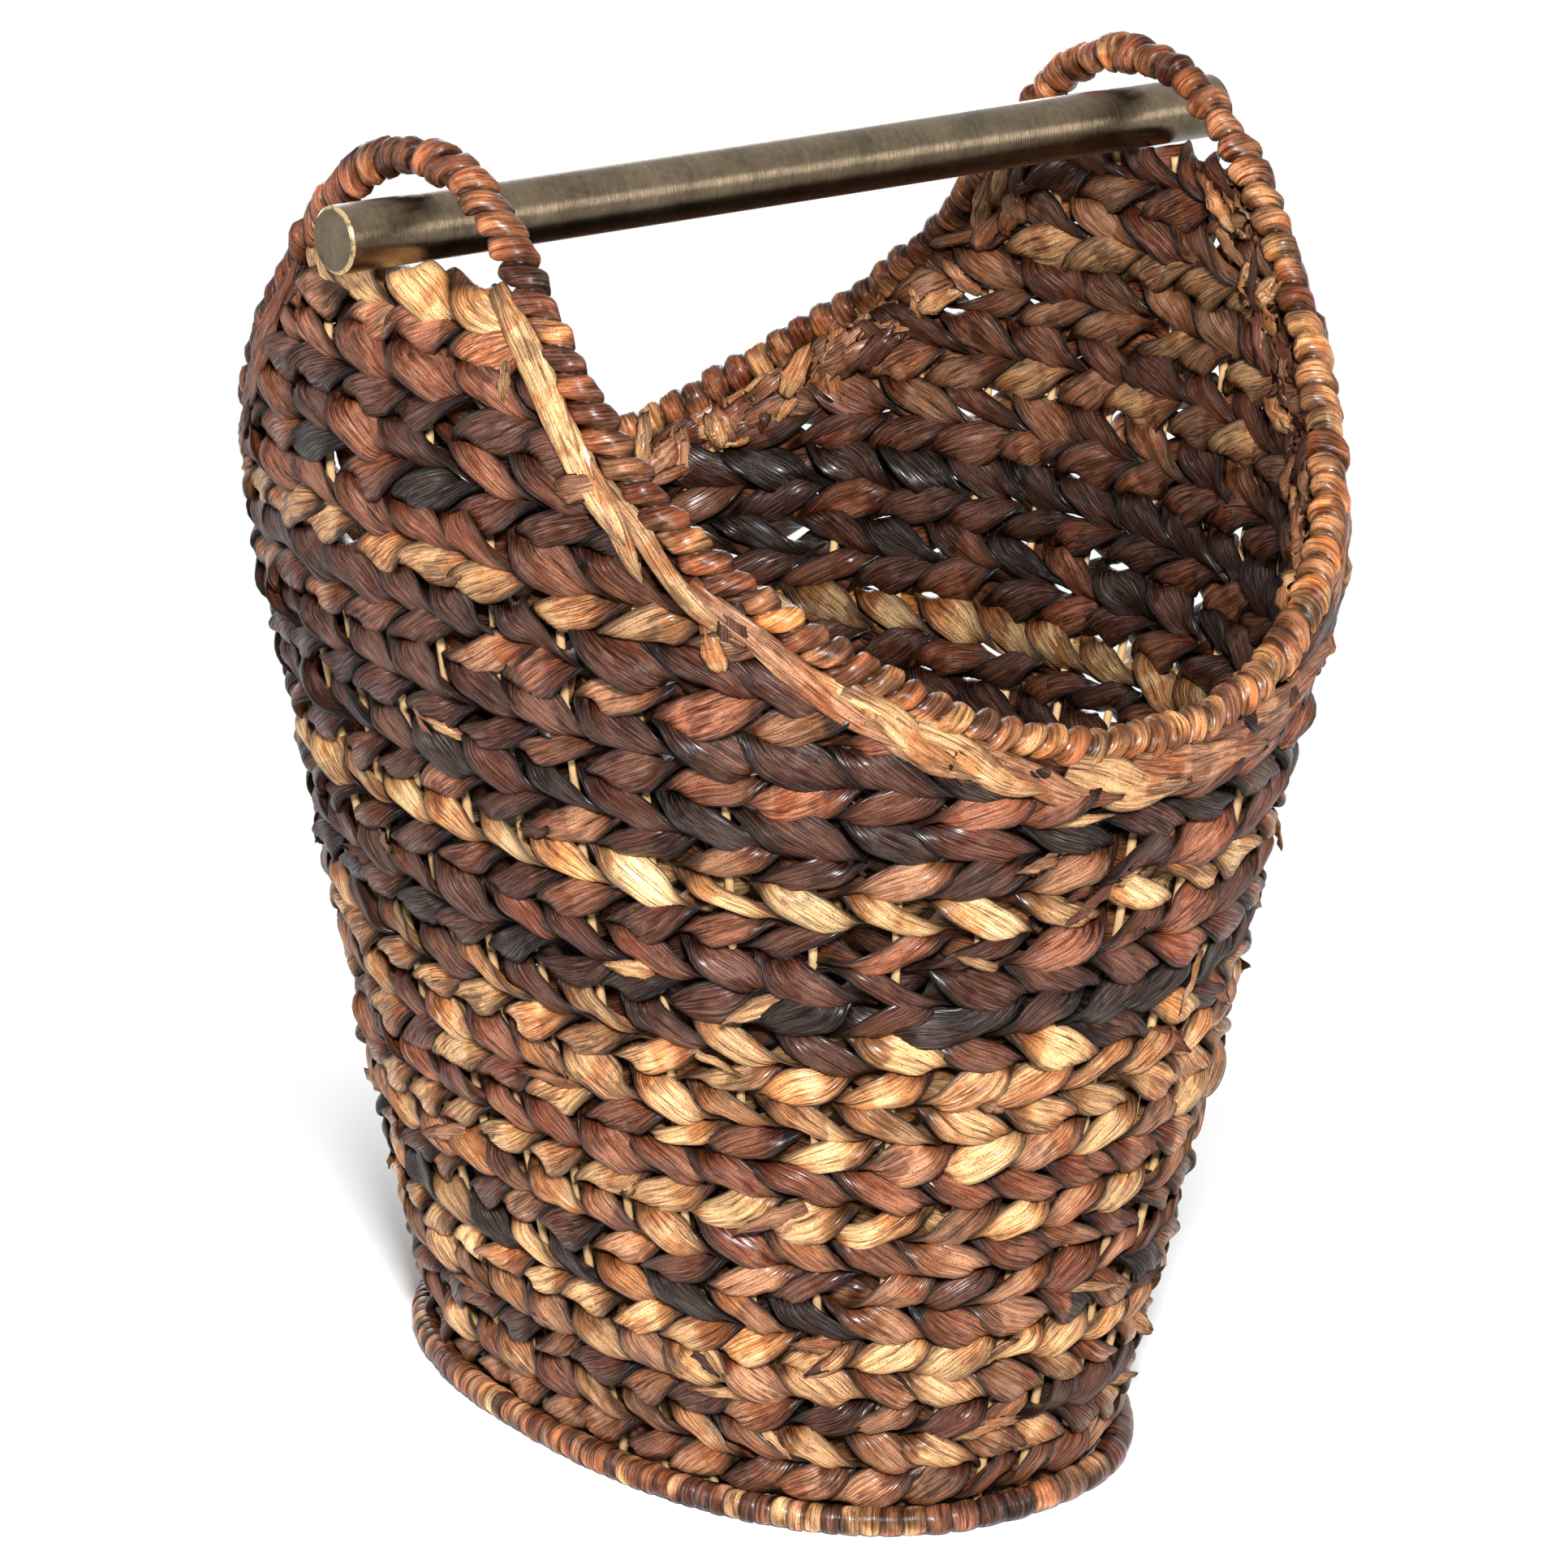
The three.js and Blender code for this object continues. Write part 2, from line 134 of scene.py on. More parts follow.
def grid_faces(rows, columns, closed, shift=0):
    """Quads of a grid whose columns close on themselves, shift rows further on. Quads cap its open ends."""
    spans = rows if closed else rows - 1
    i, j = np.meshgrid(np.arange(spans), np.arange(columns), indexing="ij")
    past = (j + 1) // columns
    near, far = i + shift * past, i + 1 + shift * past
    corners = [(i, j), (i + 1, j), (far, (j + 1) % columns), (near, (j + 1) % columns)]
    faces = np.stack([(a % rows) * columns + b for a, b in corners], -1).reshape(-1, 4)
    if closed:
        return faces
    k = np.arange(columns // 2 - 1)
    cap = np.stack([k, k + 1, columns - 2 - k, columns - 1 - k], -1)
    return np.concatenate([faces, cap, cap[:, ::-1] + (rows - 1) * columns])


def make_piece(name, points, faces, finish, uv=None, tone=None):
    """A smooth mesh from points and quads, with a UV in metres for each corner and a tone for each point."""
    mesh = bpy.data.meshes.new(name)
    mesh.vertices.add(len(points))
    mesh.vertices.foreach_set("co", np.ascontiguousarray(points, np.float32).ravel())
    mesh.loops.add(faces.size)
    mesh.loops.foreach_set("vertex_index", np.ascontiguousarray(faces, np.int32).ravel())
    mesh.polygons.add(len(faces))
    mesh.polygons.foreach_set("loop_start", np.arange(0, faces.size, 4, dtype=np.int32))
    mesh.polygons.foreach_set("use_smooth", np.ones(len(faces), bool))
    mesh.update(calc_edges=True)
    if uv is not None:
        layer = mesh.uv_layers.new(name="run")
        layer.uv.foreach_set("vector", np.ascontiguousarray(uv, np.float32).ravel())
    if tone is not None:
        tint = mesh.color_attributes.new("tone", "FLOAT_COLOR", "POINT")
        rgba = np.concatenate([tone, np.ones((len(tone), 1))], 1)
        tint.data.foreach_set("color", np.ascontiguousarray(rgba, np.float32).ravel())
    mesh.materials.append(finish)
    piece = bpy.data.objects.new(name, mesh)
    bpy.context.scene.collection.objects.link(piece)
    return piece


def round_rod(path, lean, radius, sides):
    """A circle carried along a path, with lean as a direction that the path never follows."""
    along = unit(np.gradient(path, axis=0))
    side = unit(np.cross(along, lean))
    out = np.cross(side, along)
    turn = TURN * np.arange(sides) / sides
    ring = side[:, None] * np.cos(turn)[:, None] + out[:, None] * np.sin(turn)[:, None]
    return (path[:, None] + radius * ring).reshape(-1, 3), grid_faces(len(path), sides, False)


class Value:
    """A socket in a material. Arithmetic on it adds Math nodes, and node() adds any other node."""

    def __init__(self, socket):
        self.socket = socket

    def node(self, kind, settings=None, sockets=None, out=0):
        """A new node: its settings come first, with a ramp's stops among them, then its values and links."""
        tree = self.socket.id_data
        new = tree.nodes.new(kind)
        for key, setting in (settings or {}).items():
            if key == "stops":
                for _ in range(len(setting) - 2):
                    new.color_ramp.elements.new(0.5)
                for stop, (place, shade) in zip(new.color_ramp.elements, setting):
                    stop.position = place
                    stop.color = (shade, shade, shade, 1)
            else:
                setattr(new, key, setting)
        for key, value in (sockets or {}).items():
            if isinstance(value, Value):
                tree.links.new(value.socket, new.inputs[key])
            else:
                new.inputs[key].default_value = value
        return Value(new.outputs[out]) if new.outputs else None

    def math(self, operation, first, second):
        """A Math node on two values."""
        return self.node("ShaderNodeMath", {"operation": operation}, {0: first, 1: second})

    def __add__(self, other):
        return self.math("ADD", self, other)

    def __sub__(self, other):
        return self.math("SUBTRACT", self, other)

    def __rsub__(self, other):
        return self.math("SUBTRACT", other, self)

    def __mul__(self, other):
        return self.math("MULTIPLY", self, other)

    __radd__ = __add__
    __rmul__ = __mul__

    def stretch(self, scales):
        """A coordinate times a scale for each axis."""
        return self.node("ShaderNodeVectorMath", {"operation": "MULTIPLY"}, {0: self, 1: scales})

    def noise(self, scale=1.0, detail=2.0, roughness=0.5):
        """Noise on a coordinate."""
        sockets = {"Vector": self, "Scale": scale, "Detail": detail, "Roughness": roughness}
        return self.node("ShaderNodeTexNoise", None, sockets)

    def ramp(self, *stops):
        """A value read off a grey ramp of (place, shade) stops."""
        return self.node("ShaderNodeValToRGB", {"stops": stops}, {0: self})

    def blend(self, first, second, how="MIX"):
        """The first colour where the value is 0 and the second where it is 1."""
        settings = {"data_type": "RGBA", "blend_type": how}
        return self.node("ShaderNodeMix", settings, {0: self, 6: first, 7: second}, 2)

    def relief(self, strength, distance):
        """A bump normal from a height."""
        sockets = {"Height": self, "Strength": strength, "Distance": distance}
        return self.node("ShaderNodeBump", None, sockets)


def start_finish(name):
    """A new empty material, with its Object and UV coordinates."""
    finish = bpy.data.materials.new(name)
    finish.use_nodes = True
    finish.node_tree.nodes.clear()
    places = finish.node_tree.nodes.new("ShaderNodeTexCoord")
    return finish, Value(places.outputs["Object"]), Value(places.outputs["UV"])


def end_finish(sockets, surface):
    """The shader with these sockets, joined to the output."""
    shader = surface.node("ShaderNodeBsdfPrincipled", None, sockets)
    surface.node("ShaderNodeOutputMaterial", None, {"Surface": shader})


reed_finish, place, _ = start_finish("pale_reed")
reed_grain = place.stretch(REED_GRAIN).noise(1, 3)
reed_age = place.noise(28, 2)
reed_mix = reed_grain * 0.6 + reed_age * 0.5 - 0.05
end_finish({
    "Base Color": reed_mix.blend(REED_DARK, REED_PALE),
    "Roughness": reed_grain * 0.25 + 0.5,
    "Normal": reed_grain.relief(0.4, REED_BUMP),
}, place)


def stake_path(first, second):
    """Down one stake, in under the floor, across to the next stake and up it, with the bends rounded off."""
    def leg(count):
        """One stake from its top to the floor, and its turned-in end."""
        angle = stake_angle(np.array(count, float))
        top = min(rim_height(angle) - STAKE_UNDER_RIM, STAKE_EAR_TOP)
        heights = np.linspace(top, STAKE_FLOOR, STAKE_LEG_STEPS)
        line, out, _ = wall_frame(np.full(STAKE_LEG_STEPS, angle), heights)
        inward = -out[-1] * (1, 1, 0)
        return np.concatenate([line, [line[-1] + STAKE_GRIP * unit(inward)]])

    corners = np.concatenate([leg(first), leg(second)[::-1]])
    lengths = run_length(corners)
    count = int(lengths[-1] / STAKE_STEP)
    even = np.linspace(0, lengths[-1], count)
    path = np.stack([np.interp(even, lengths, corners[:, k]) for k in range(3)], -1)
    soft = path.copy()
    soft[1:-1] = (path[:-2] + 2 * path[1:-1] + path[2:]) / 4
    return soft


for pair in range(STAKE_COUNT // 2):
    number = f"{pair + 1:02d}"
    middle = stake_angle(np.array(2 * pair + 0.5))
    _, out_way, _ = wall_frame(middle, np.array(STAKE_LEAN_AT))
    side_way = np.cross((0, 0, 1), out_way)
    lean = unit(out_way + STAKE_LEAN_SIDE * side_way + (0, 0, STAKE_LEAN_UP))
    points, faces = round_rod(stake_path(2 * pair, 2 * pair + 1), lean, STAKE_RADIUS, STAKE_SIDES)
    stake = make_piece(f"reed_stakes_{number}", points, faces, reed_finish)
    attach(stake, "basket")
    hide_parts(f"stake_pair_{number}")

# Floor mat: rings of twined leaf, worked round and round on short reeds from the middle of the foot.
# Two strands of dried leaf twist round each other once for every second reed.
MAT_TOP = 0.0083
MAT_FLATTEN = 0.42
MAT_SPACING = 0.0118
MAT_REED_SPACING = 0.021
MAT_RINGS = 8
MAT_EDGE = 0.007
MAT_SINK = 0.0035
MAT_LEAST = 0.004

# Tones of dried leaf, from dark to pale, and tints of a tone between its fibres and on them
TONES = {
    "char": (0.026, 0.016, 0.013),
    "dark": (0.074, 0.030, 0.019),
    "russet": (0.170, 0.064, 0.034),
    "brown": (0.275, 0.130, 0.068),
    "tan": (0.415, 0.230, 0.108),
    "gold": (0.530, 0.315, 0.145),
    "straw": (0.580, 0.375, 0.185),
}
CLEAN_TINTS = ((0.18, 0.12, 0.1), (1.8, 1.8, 1.75))
RED_TINTS = ((0.14, 0.07, 0.04), (1.15, 0.7, 0.42))
DARK_TINTS = ((0.1, 0.07, 0.06), (0.5, 0.4, 0.38))
SPECK_TINT = (0.22, 0.14, 0.12)
# Painted glints: pale streaks on the fibres, the tone times a tint plus a pale colour
GLINT_TINT = (1.7, 1.7, 1.7)
GLINT_PALE = (0.046, 0.031, 0.023)


def leaf_look(name, grain, relief, rough, glint_level):
    """A dried leaf: its tone, streaked along the leaf by fibres of a grain for each metre across, with pale
    painted glints on the fibres, red and dark stains, specks and a bump of a height in metres."""
    finish, place, run = start_finish(name)
    tone = run.node("ShaderNodeAttribute", {"attribute_name": "tone"})
    fibre = run.stretch((70, grain, 1)).noise(1, 2, 0.65)
    streak = run.stretch((45, 900, 1)).noise(1, 3, 0.65)
    # Painted glints: a mask of pale streaks along the fibres, up to the given strength
    painted_glint = run.stretch((90, grain * 0.8, 1)).noise(1, 2, 0.6).ramp((0.54, 0), (0.64, glint_level))
    red = run.stretch((38, 45, 1)).noise(1, 3, 0.55).ramp((0.5, 0), (0.55, 0.85))
    dark = run.stretch((30, 70, 1)).noise(1.3, 3, 0.6).ramp((0.56, 0), (0.6, 0.75))
    speck = place.noise(1700, 2, 0.5).ramp((0.57, 0), (0.66, 0.7))
    shade = fibre.ramp((0.38, 0), (0.62, 1)) * 0.45 + streak.ramp((0.4, 0), (0.6, 1)) * 0.55

    def tinted(tints):
        """The tone times the first tint between the fibres and the second on them."""
        return shade.blend(tone.stretch(tints[0]), tone.stretch(tints[1]))

    stained = dark.blend(red.blend(tinted(CLEAN_TINTS), tinted(RED_TINTS)), tinted(DARK_TINTS))
    pale = {0: tone, 1: GLINT_TINT, 2: GLINT_PALE}
    # The leaf's stained colour, with the painted glints laid over it
    wear_and_glint = painted_glint.blend(stained, tone.node("ShaderNodeVectorMath", {"operation": "MULTIPLY_ADD"}, pale))
    end_finish({
        "Base Color": speck.blend(wear_and_glint, tone.stretch(SPECK_TINT)),
        "Roughness": streak * 0.25 + rough,
        "Specular IOR Level": 0.12,
        "Coat Weight": fibre.ramp((0.52, 0), (0.6, 0.75)),
        "Coat Roughness": 0.32,
        "Normal": (fibre + streak * 0.25).relief(1.0, relief),
    }, place)
    return finish


strand_finish = leaf_look("dried_leaf", 2900, 0.0009, 0.22, 0.6)


# How the tone changes from leaf to leaf, and over each turn of a strand, with painted shade where the strand
# turns in, on the inside of the wall, at its edges and in its crease
LEAF_STAKES = 11
LEAF_DRIFT = (-1, 0, 0, 0, 0, 0, 1)
LEAF_STRENGTH = (0.82, 1.18)
TONE_WANDER = 0.2
TONE_RANGE = (0.55, 1.6)
RED_FROM = 2.5
RED_SLOPE = 25
RED_SPREAD = 1.5
RED_LAST = -0.4
RED_SHARE = 0.7
RED_WANDER = 0.6
RED_DARKEN = 0.4
RED_REDDEN = 1.3
# The reddening tint serves both the red stain and the painted shade where a strand turns in
REDDEN = (1.0, 0.81, 0.66)
# Painted shade: how far a strand is darkened where it turns in, on the inside of the wall, at its edges and
# in its crease
TURNED_SHADE = 0.1
TURNED_POWER = 0.8
INNER_SHADE = 0.25
EDGE_SHADE = 0.85
CREASE_SHADE = 0.3
CREASE_SHARPNESS = 80


def wander(draw, count, strands, closed):
    """A smooth random walk for each strand: one normal draw at each stake, eased from one to the next."""
    first = np.floor(count[0])
    stakes = int(np.ceil(count[-1] - first)) + 1
    knots = draw.normal(0, 1, (strands, stakes + 1))
    if closed:
        knots[:, stakes - 1:] = knots[:, :2]
    cell = np.floor(count - first).astype(int)
    part = count - first - cell
    ease = part**2 * (3 - 2 * part)
    return knots[:, cell] * (1 - ease) + knots[:, cell + 1] * ease


def leaf_tones(draw, count, names, closed):
    """The colour of two strands: each is a chain of leaves, one after another, near the row's tones."""
    strands = []
    for name in names:
        leaves = int(np.ptp(count) / LEAF_STAKES) + 2
        starts = np.sort(draw.uniform(count[0], count[-1], leaves))
        order = list(TONES)
        drift = draw.choice(LEAF_DRIFT, leaves + 1)
        if closed:
            drift[-1] = drift[0]
        picks = [order[min(max(order.index(name) + d, 0), len(order) - 1)] for d in drift]
        strength = draw.uniform(*LEAF_STRENGTH, (leaves + 1, 1))
        palette = np.array([TONES[pick] for pick in picks]) * strength
        strands.append(palette[np.searchsorted(starts, count)])
    each = 1 + TONE_WANDER * wander(draw, count, 2, closed)
    return np.array(strands) * np.clip(each, *TONE_RANGE)[..., None]


def painted_shade_and_red_stain(at, shown, x, crease, count, draw, closed):
    """How far a strand's tone is darkened and reddened: painted shade, darker and redder where it turns in,
    and darker on the inside of the wall, at its edges and in its crease; and often a red stain, darker and
    redder, at the upper end of its face."""
    red = np.clip(-RED_FROM - RED_SLOPE * at - RED_SPREAD * wander(draw, count, 2, closed), 0, 1)
    red = red * (at > RED_LAST) * np.clip(RED_SHARE + RED_WANDER * wander(draw, count, 2, closed), 0, 1)
    # Painted shade: darker and redder where the strand turns in, and darker on the inside of the wall, at its
    # edges and in its crease
    shade = (TURNED_SHADE + np.abs(shown) ** TURNED_POWER) * (1 - RED_DARKEN * red)
    shade = (shade * (1 - INNER_SHADE + INNER_SHADE * shown))[..., None]
    in_crease = np.exp(-CREASE_SHARPNESS * (x - crease) ** 2)
    shade = shade * (1 - EDGE_SHADE * x**6) * (1 - CREASE_SHADE * in_crease)
    redden = np.array(REDDEN) ** (1 - np.abs(shown) + RED_REDDEN * red)[..., None, None]
    return shade[..., None] * redden


# The shape of a strand, and how far each turn of it strays from that shape
STRAND_STEPS = 14
STRAND_SIDES = 20
STRAND_WIDTH = 0.0134
STRAND_THICKNESS = 0.0042
STRAND_DOME = 0.14
DOME_POWER = 1.05
STRAND_REACH = 0.0038
STRAND_RISE = 0.0039
STRAND_LINGER = 0.38
STRAND_FOLD = 0.0013
FOLD_SHARPNESS = 14
STRAND_DROP = 0.0009
EDGE_ON_WIDTH = 0.78
TURN_START = 0.1
TURN_WANDER = 0.045
REACH_WANDER = 0.12
RISE_WANDER = 0.25
WIDTH_WANDER = 0.17
THICK_WANDER = 0.12
LEAN_WANDER = 0.32
CREASE_WANDER = 0.45
END_RUN = 0.6
END_SIZE = 0.35
END_REACH = 0.3
RUN_STARTS = 40


def twined_pair(base, out, up, count, hand, draw, closed, tones, full=1.0, flat=1.0):
    """Two strands wound round each other, half a turn for each stake. A strand's middle stands out from the
    row by the cosine of its turn and above it by the sine, and its section turns with it but lingers face on.
    The section is a dome with one fold, fuller on its outer side. full widens the leaves, and flat presses
    the pair flat. Gives the points and the tones, with painted shade and the red stain on them."""
    strand = np.arange(2)[:, None]
    turn = (count + strand) / 2 + TURN_WANDER * wander(draw, count, 2, closed)
    turn = turn + draw.uniform(-TURN_START, TURN_START)
    at = -hand * ((turn + 0.5) % 1 - 0.5)
    facing = TURN * at - STRAND_LINGER * np.sin(2 * TURN * at)
    shown = np.cos(facing)
    reach = STRAND_REACH * (1 + REACH_WANDER * wander(draw, count, 2, closed))
    rise = STRAND_RISE * (1 + RISE_WANDER * wander(draw, count, 2, closed))
    drop = STRAND_DROP * wander(draw, count, 2, closed)
    width = STRAND_WIDTH * full * (1 + WIDTH_WANDER * wander(draw, count, 2, closed))
    width = width * (EDGE_ON_WIDTH + (1 - EDGE_ON_WIDTH) * np.abs(shown))
    thick = STRAND_THICKNESS * (1 + THICK_WANDER * wander(draw, count, 2, closed))
    if not closed:
        ends = np.clip(np.minimum(count - count[0], count[-1] - count) / END_RUN, 0, 1)
        width = width * (END_SIZE + (1 - END_SIZE) * ends)
        thick = thick * (END_SIZE + (1 - END_SIZE) * ends)
        reach = reach * (END_REACH + (1 - END_REACH) * ends)
    raised = drop - rise * np.sin(TURN * at)
    middle = base + (reach * shown)[..., None] * out + raised[..., None] * up
    if closed:
        along = np.roll(middle, -1, 1) - np.roll(middle, 1, 1)
    else:
        along = np.gradient(middle, axis=1)
    along = unit(along)
    lean = facing + LEAN_WANDER * wander(draw, count, 2, closed)
    away = np.cos(lean)[..., None] * out - np.sin(lean)[..., None] * up
    away = unit(away - along * np.sum(away * along, -1, keepdims=True))
    side = np.cross(along, away)
    around = TURN * np.arange(STRAND_SIDES) / STRAND_SIDES
    x, y = np.cos(around), np.sin(around)
    crease = CREASE_WANDER * wander(draw, count, 2, closed)[..., None]
    fold = STRAND_FOLD * (1 / (1 + np.exp(-FOLD_SHARPNESS * (x - crease))) - 0.5) * (1 - x**2)
    across = width[..., None] / 2 * x
    dome = (0.5 * np.sign(y) + STRAND_DOME) * np.abs(y) ** DOME_POWER
    proud = thick[..., None] * dome + fold * np.sign(y)
    points = middle[:, :, None] + side[:, :, None] * across[..., None] + away[:, :, None] * proud[..., None]
    off = np.sum((points - base[:, None]) * out[:, None], -1, keepdims=True)
    shades = painted_shade_and_red_stain(at, shown, x, crease, count, draw, closed)
    return points - (1 - flat) * off * out[:, None], tones[:, :, None] * shades


def strand_runs(points, faces, closed, draw):
    """UV corners in metres: the length along the strand, and the way round its section."""
    rows, columns = points.shape[:2]
    lengths = run_length(np.concatenate([points[:, 0], points[:1, 0]]))
    girth = np.arange(columns + 1) * 2 * STRAND_WIDTH / columns
    start = draw.uniform(0, RUN_STARTS, 2)
    i, j = faces // columns, faces % columns
    wrapped_i = np.where((i == 0) & (i.max(1, keepdims=True) == rows - 1) & closed, rows, i)
    wrapped_j = np.where((j == 0) & (j.max(1, keepdims=True) == columns - 1), columns, j)
    return np.stack([lengths[wrapped_i] + start[0], girth[wrapped_j] + start[1]], -1)


def twined_piece(name, pairs, finish, draw):
    """One object from twined pairs: each is its points, the tones of its strands and whether it closes."""
    points, faces, runs, tones = [], [], [], []
    total = 0
    for grid, tone, closed in pairs:
        for strand, shade in zip(grid, tone):
            rows, columns = strand.shape[:2]
            quads = grid_faces(rows, columns, closed)
            runs.append(strand_runs(strand, quads, closed, draw))
            faces.append(quads + total)
            points.append(strand.reshape(-1, 3))
            tones.append(shade.reshape(-1, 3))
            total += rows * columns
    points, faces, runs, tones = map(np.concatenate, (points, faces, runs, tones))
    return make_piece(name, points, faces, finish, runs, tones)


def mat_ring(inset, draw, hand):
    """A twined ring of the floor, at an inset from the foot of the wall, with its reeds at even lengths."""
    half_width, half_depth = half_axes(np.array(MAT_TOP))
    half_width, half_depth = max(half_width - inset, MAT_LEAST), half_depth - inset
    ring = oval_point(half_width, half_depth, RING_ANGLES, 0)
    lengths = run_length(ring)
    reeds = 2 * max(int(lengths[-1] / MAT_REED_SPACING / 2), 3)
    count = np.arange(reeds * STRAND_STEPS) / STRAND_STEPS
    angle = np.interp(count / reeds * lengths[-1], lengths, RING_ANGLES)

    def ring_point(turn):
        """A point of the ring's middle, by the angle round the oval."""
        return oval_point(half_width, half_depth, turn, MAT_TOP - MAT_SINK)

    along = unit(ring_point(angle + NUDGE) - ring_point(angle - NUDGE))
    up = np.broadcast_to((0.0, 0.0, 1.0), along.shape)
    tones = leaf_tones(draw, count, ("brown", "tan"), True)
    across = np.cross(along, up)
    pair = twined_pair(ring_point(angle), up, across, count, hand, draw, True, tones, flat=MAT_FLATTEN)
    return *pair, True


draw = np.random.default_rng(11)
mat_rings = [mat_ring(MAT_EDGE + MAT_SPACING * i, draw, 1 if i % 2 else -1) for i in range(MAT_RINGS)]
floor_mat = twined_piece("floor_mat", mat_rings, strand_finish, draw)
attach(floor_mat, "basket")
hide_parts("base_mat")

# Closed rows: pairs of dried leaf strands twined round the stakes, one row pressed down on another.
# Neighbouring rows twist opposite ways, so their slanted leaves meet in chevrons.
# Each row has its own leaves' tones.
FIRST_ROW = 0.0177
ROW_PITCH = 0.0126
ROW_RISE = 0.012
ROW_FULL = 1.03
FULL_ROWS = 21
ROW_TONES = (
    ("brown", "brown"),
    ("brown", "tan"),
    ("dark", "russet"),
    ("brown", "tan"),
    ("tan", "gold"),
    ("tan", "dark"),
    ("dark", "brown"),
    ("brown", "tan"),
    ("tan", "gold"),
    ("russet", "brown"),
    ("tan", "brown"),
    ("brown", "tan"),
    ("tan", "tan"),
    ("tan", "dark"),
    ("char", "dark"),
    ("russet", "dark"),
    ("dark", "russet"),
    ("gold", "straw"),
    ("dark", "russet"),
    ("dark", "dark"),
    ("dark", "dark"),
)


def row_height(row, angle):
    """Height of a row: level at the front and back, and raised a little at the ears, more in higher rows."""
    return FIRST_ROW + ROW_PITCH * row + ROW_RISE * min(row / FULL_ROWS, 1) * np.cos(angle) ** 2


draw = np.random.default_rng(23)
for row, names in enumerate(ROW_TONES):
    count = np.arange(STAKE_COUNT * STRAND_STEPS) / STRAND_STEPS
    angle = stake_angle(count)
    base, out, up = wall_frame(angle, row_height(row, angle))
    hand = -1 if row % 2 else 1
    tones = leaf_tones(draw, count, names, True)
    pair = twined_pair(base, out, up, count + row % 2, hand, draw, True, tones, ROW_FULL)
    woven_row = twined_piece(f"woven_row_{row + 1:02d}", [(*pair, True)], strand_finish, draw)
    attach(woven_row, "basket")
    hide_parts(f"weave_row_{row + 1:02d}")

# Ear rows: shorter twined rows that fill each ear above the low rim, and end under the slope of the rim.
# The top row carries the roll bar.
EAR_ROWS = 11
EAR_FULL = 1.18
EAR_MARGIN = 0.0048
EAR_HALF_SPAN = 9.5
EAR_SEARCH = 40
EAR_TOP_DROP = {"right": 0.0006, "left": 0.0023}
EAR_MIDDLE = {"right": -0.5, "left": STAKE_COUNT / 2 - 0.5}
EAR_SEED = {"right": 31, "left": 37}
EAR_TONES = {
    "right": (
        "dark", "russet", "russet", "brown", "russet", "brown",
        "brown", "tan", "brown", "brown", "russet",
    ),
    "left": (
        "dark", "russet", "dark", "tan", "russet", "dark",
        "russet", "dark", "russet", "brown", "gold",
    ),
}


def ear_row(row, side, name, draw):
    """A twined row between the two points at which the underside of the rim meets its height."""
    reach = EAR_HALF_SPAN * EAR_SEARCH
    count = np.arange(-reach, reach + 1) / EAR_SEARCH
    angle = stake_angle(count + EAR_MIDDLE[side])
    span = count[rim_height(angle) - EAR_MARGIN >= row_height(row, angle)]
    count = np.linspace(span[0], span[-1], int(np.ptp(span) * STRAND_STEPS) + 2) + EAR_MIDDLE[side]
    angle = stake_angle(count)
    drop = EAR_TOP_DROP[side] * (row == FULL_ROWS + EAR_ROWS - 1)
    base, out, up = wall_frame(angle, row_height(row, angle) - drop)
    hand = -1 if row % 2 else 1
    tones = leaf_tones(draw, count, (name, name), False)
    return *twined_pair(base, out, up, count + row % 2, hand, draw, False, tones, EAR_FULL), False


for side in ("right", "left"):
    draw = np.random.default_rng(EAR_SEED[side])
    rows = [ear_row(FULL_ROWS + k, side, name, draw) for k, name in enumerate(EAR_TONES[side])]
    ear = twined_piece(f"{side}_ear_rows", rows, strand_finish, draw)
    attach(ear, "basket")
    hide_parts(f"{side}_ear_weave")

# Base ring: a hoop bound with leaf, sewn on round the foot. The basket stands on it.
# It is bound close with twisted leaf, and with longer, flatter turns at the front right.
BASE_RADIUS = 0.0053
BASE_OUTSET = 0.00754
BASE_AT = 0.0106
BASE_BEAD = 0.001
BASE_SLANT = -0.2
BASE_TURN = 0.0055
BASE_FLAT_TURN = 0.016
BASE_FLAT_AT = -0.9
BASE_TONES = {"dark": 0.12, "russet": 0.26, "brown": 0.36, "tan": 0.2, "gold": 0.06}
PICKED_STRENGTH = (0.8, 1.2)
WRAP_STEPS = 10
WRAP_SIDES = 20
WRAP_SIZES = (0.66, 1.0)
WRAP_LUMP = 0.2
WRAP_LUMP_RANGE = (0.6, 1.3)
WRAP_FOLD = 0.16
WRAP_PATCH = 0.3
WRAP_PATCH_RANGE = (0.35, 1.8)
# Painted shade on each bound turn: darker in the grooves between turns, lighter on its swell, and lighter and
# darker across its fold
WRAP_GROOVE_SHADE = 0.14
WRAP_SWELL_SHADE = 0.98
WRAP_FOLD_SHADE = 0.25
WRAP_RUN = 0.07

wrap_finish = leaf_look("bound_leaf", 1700, 0.0003, 0.2, 0.25)


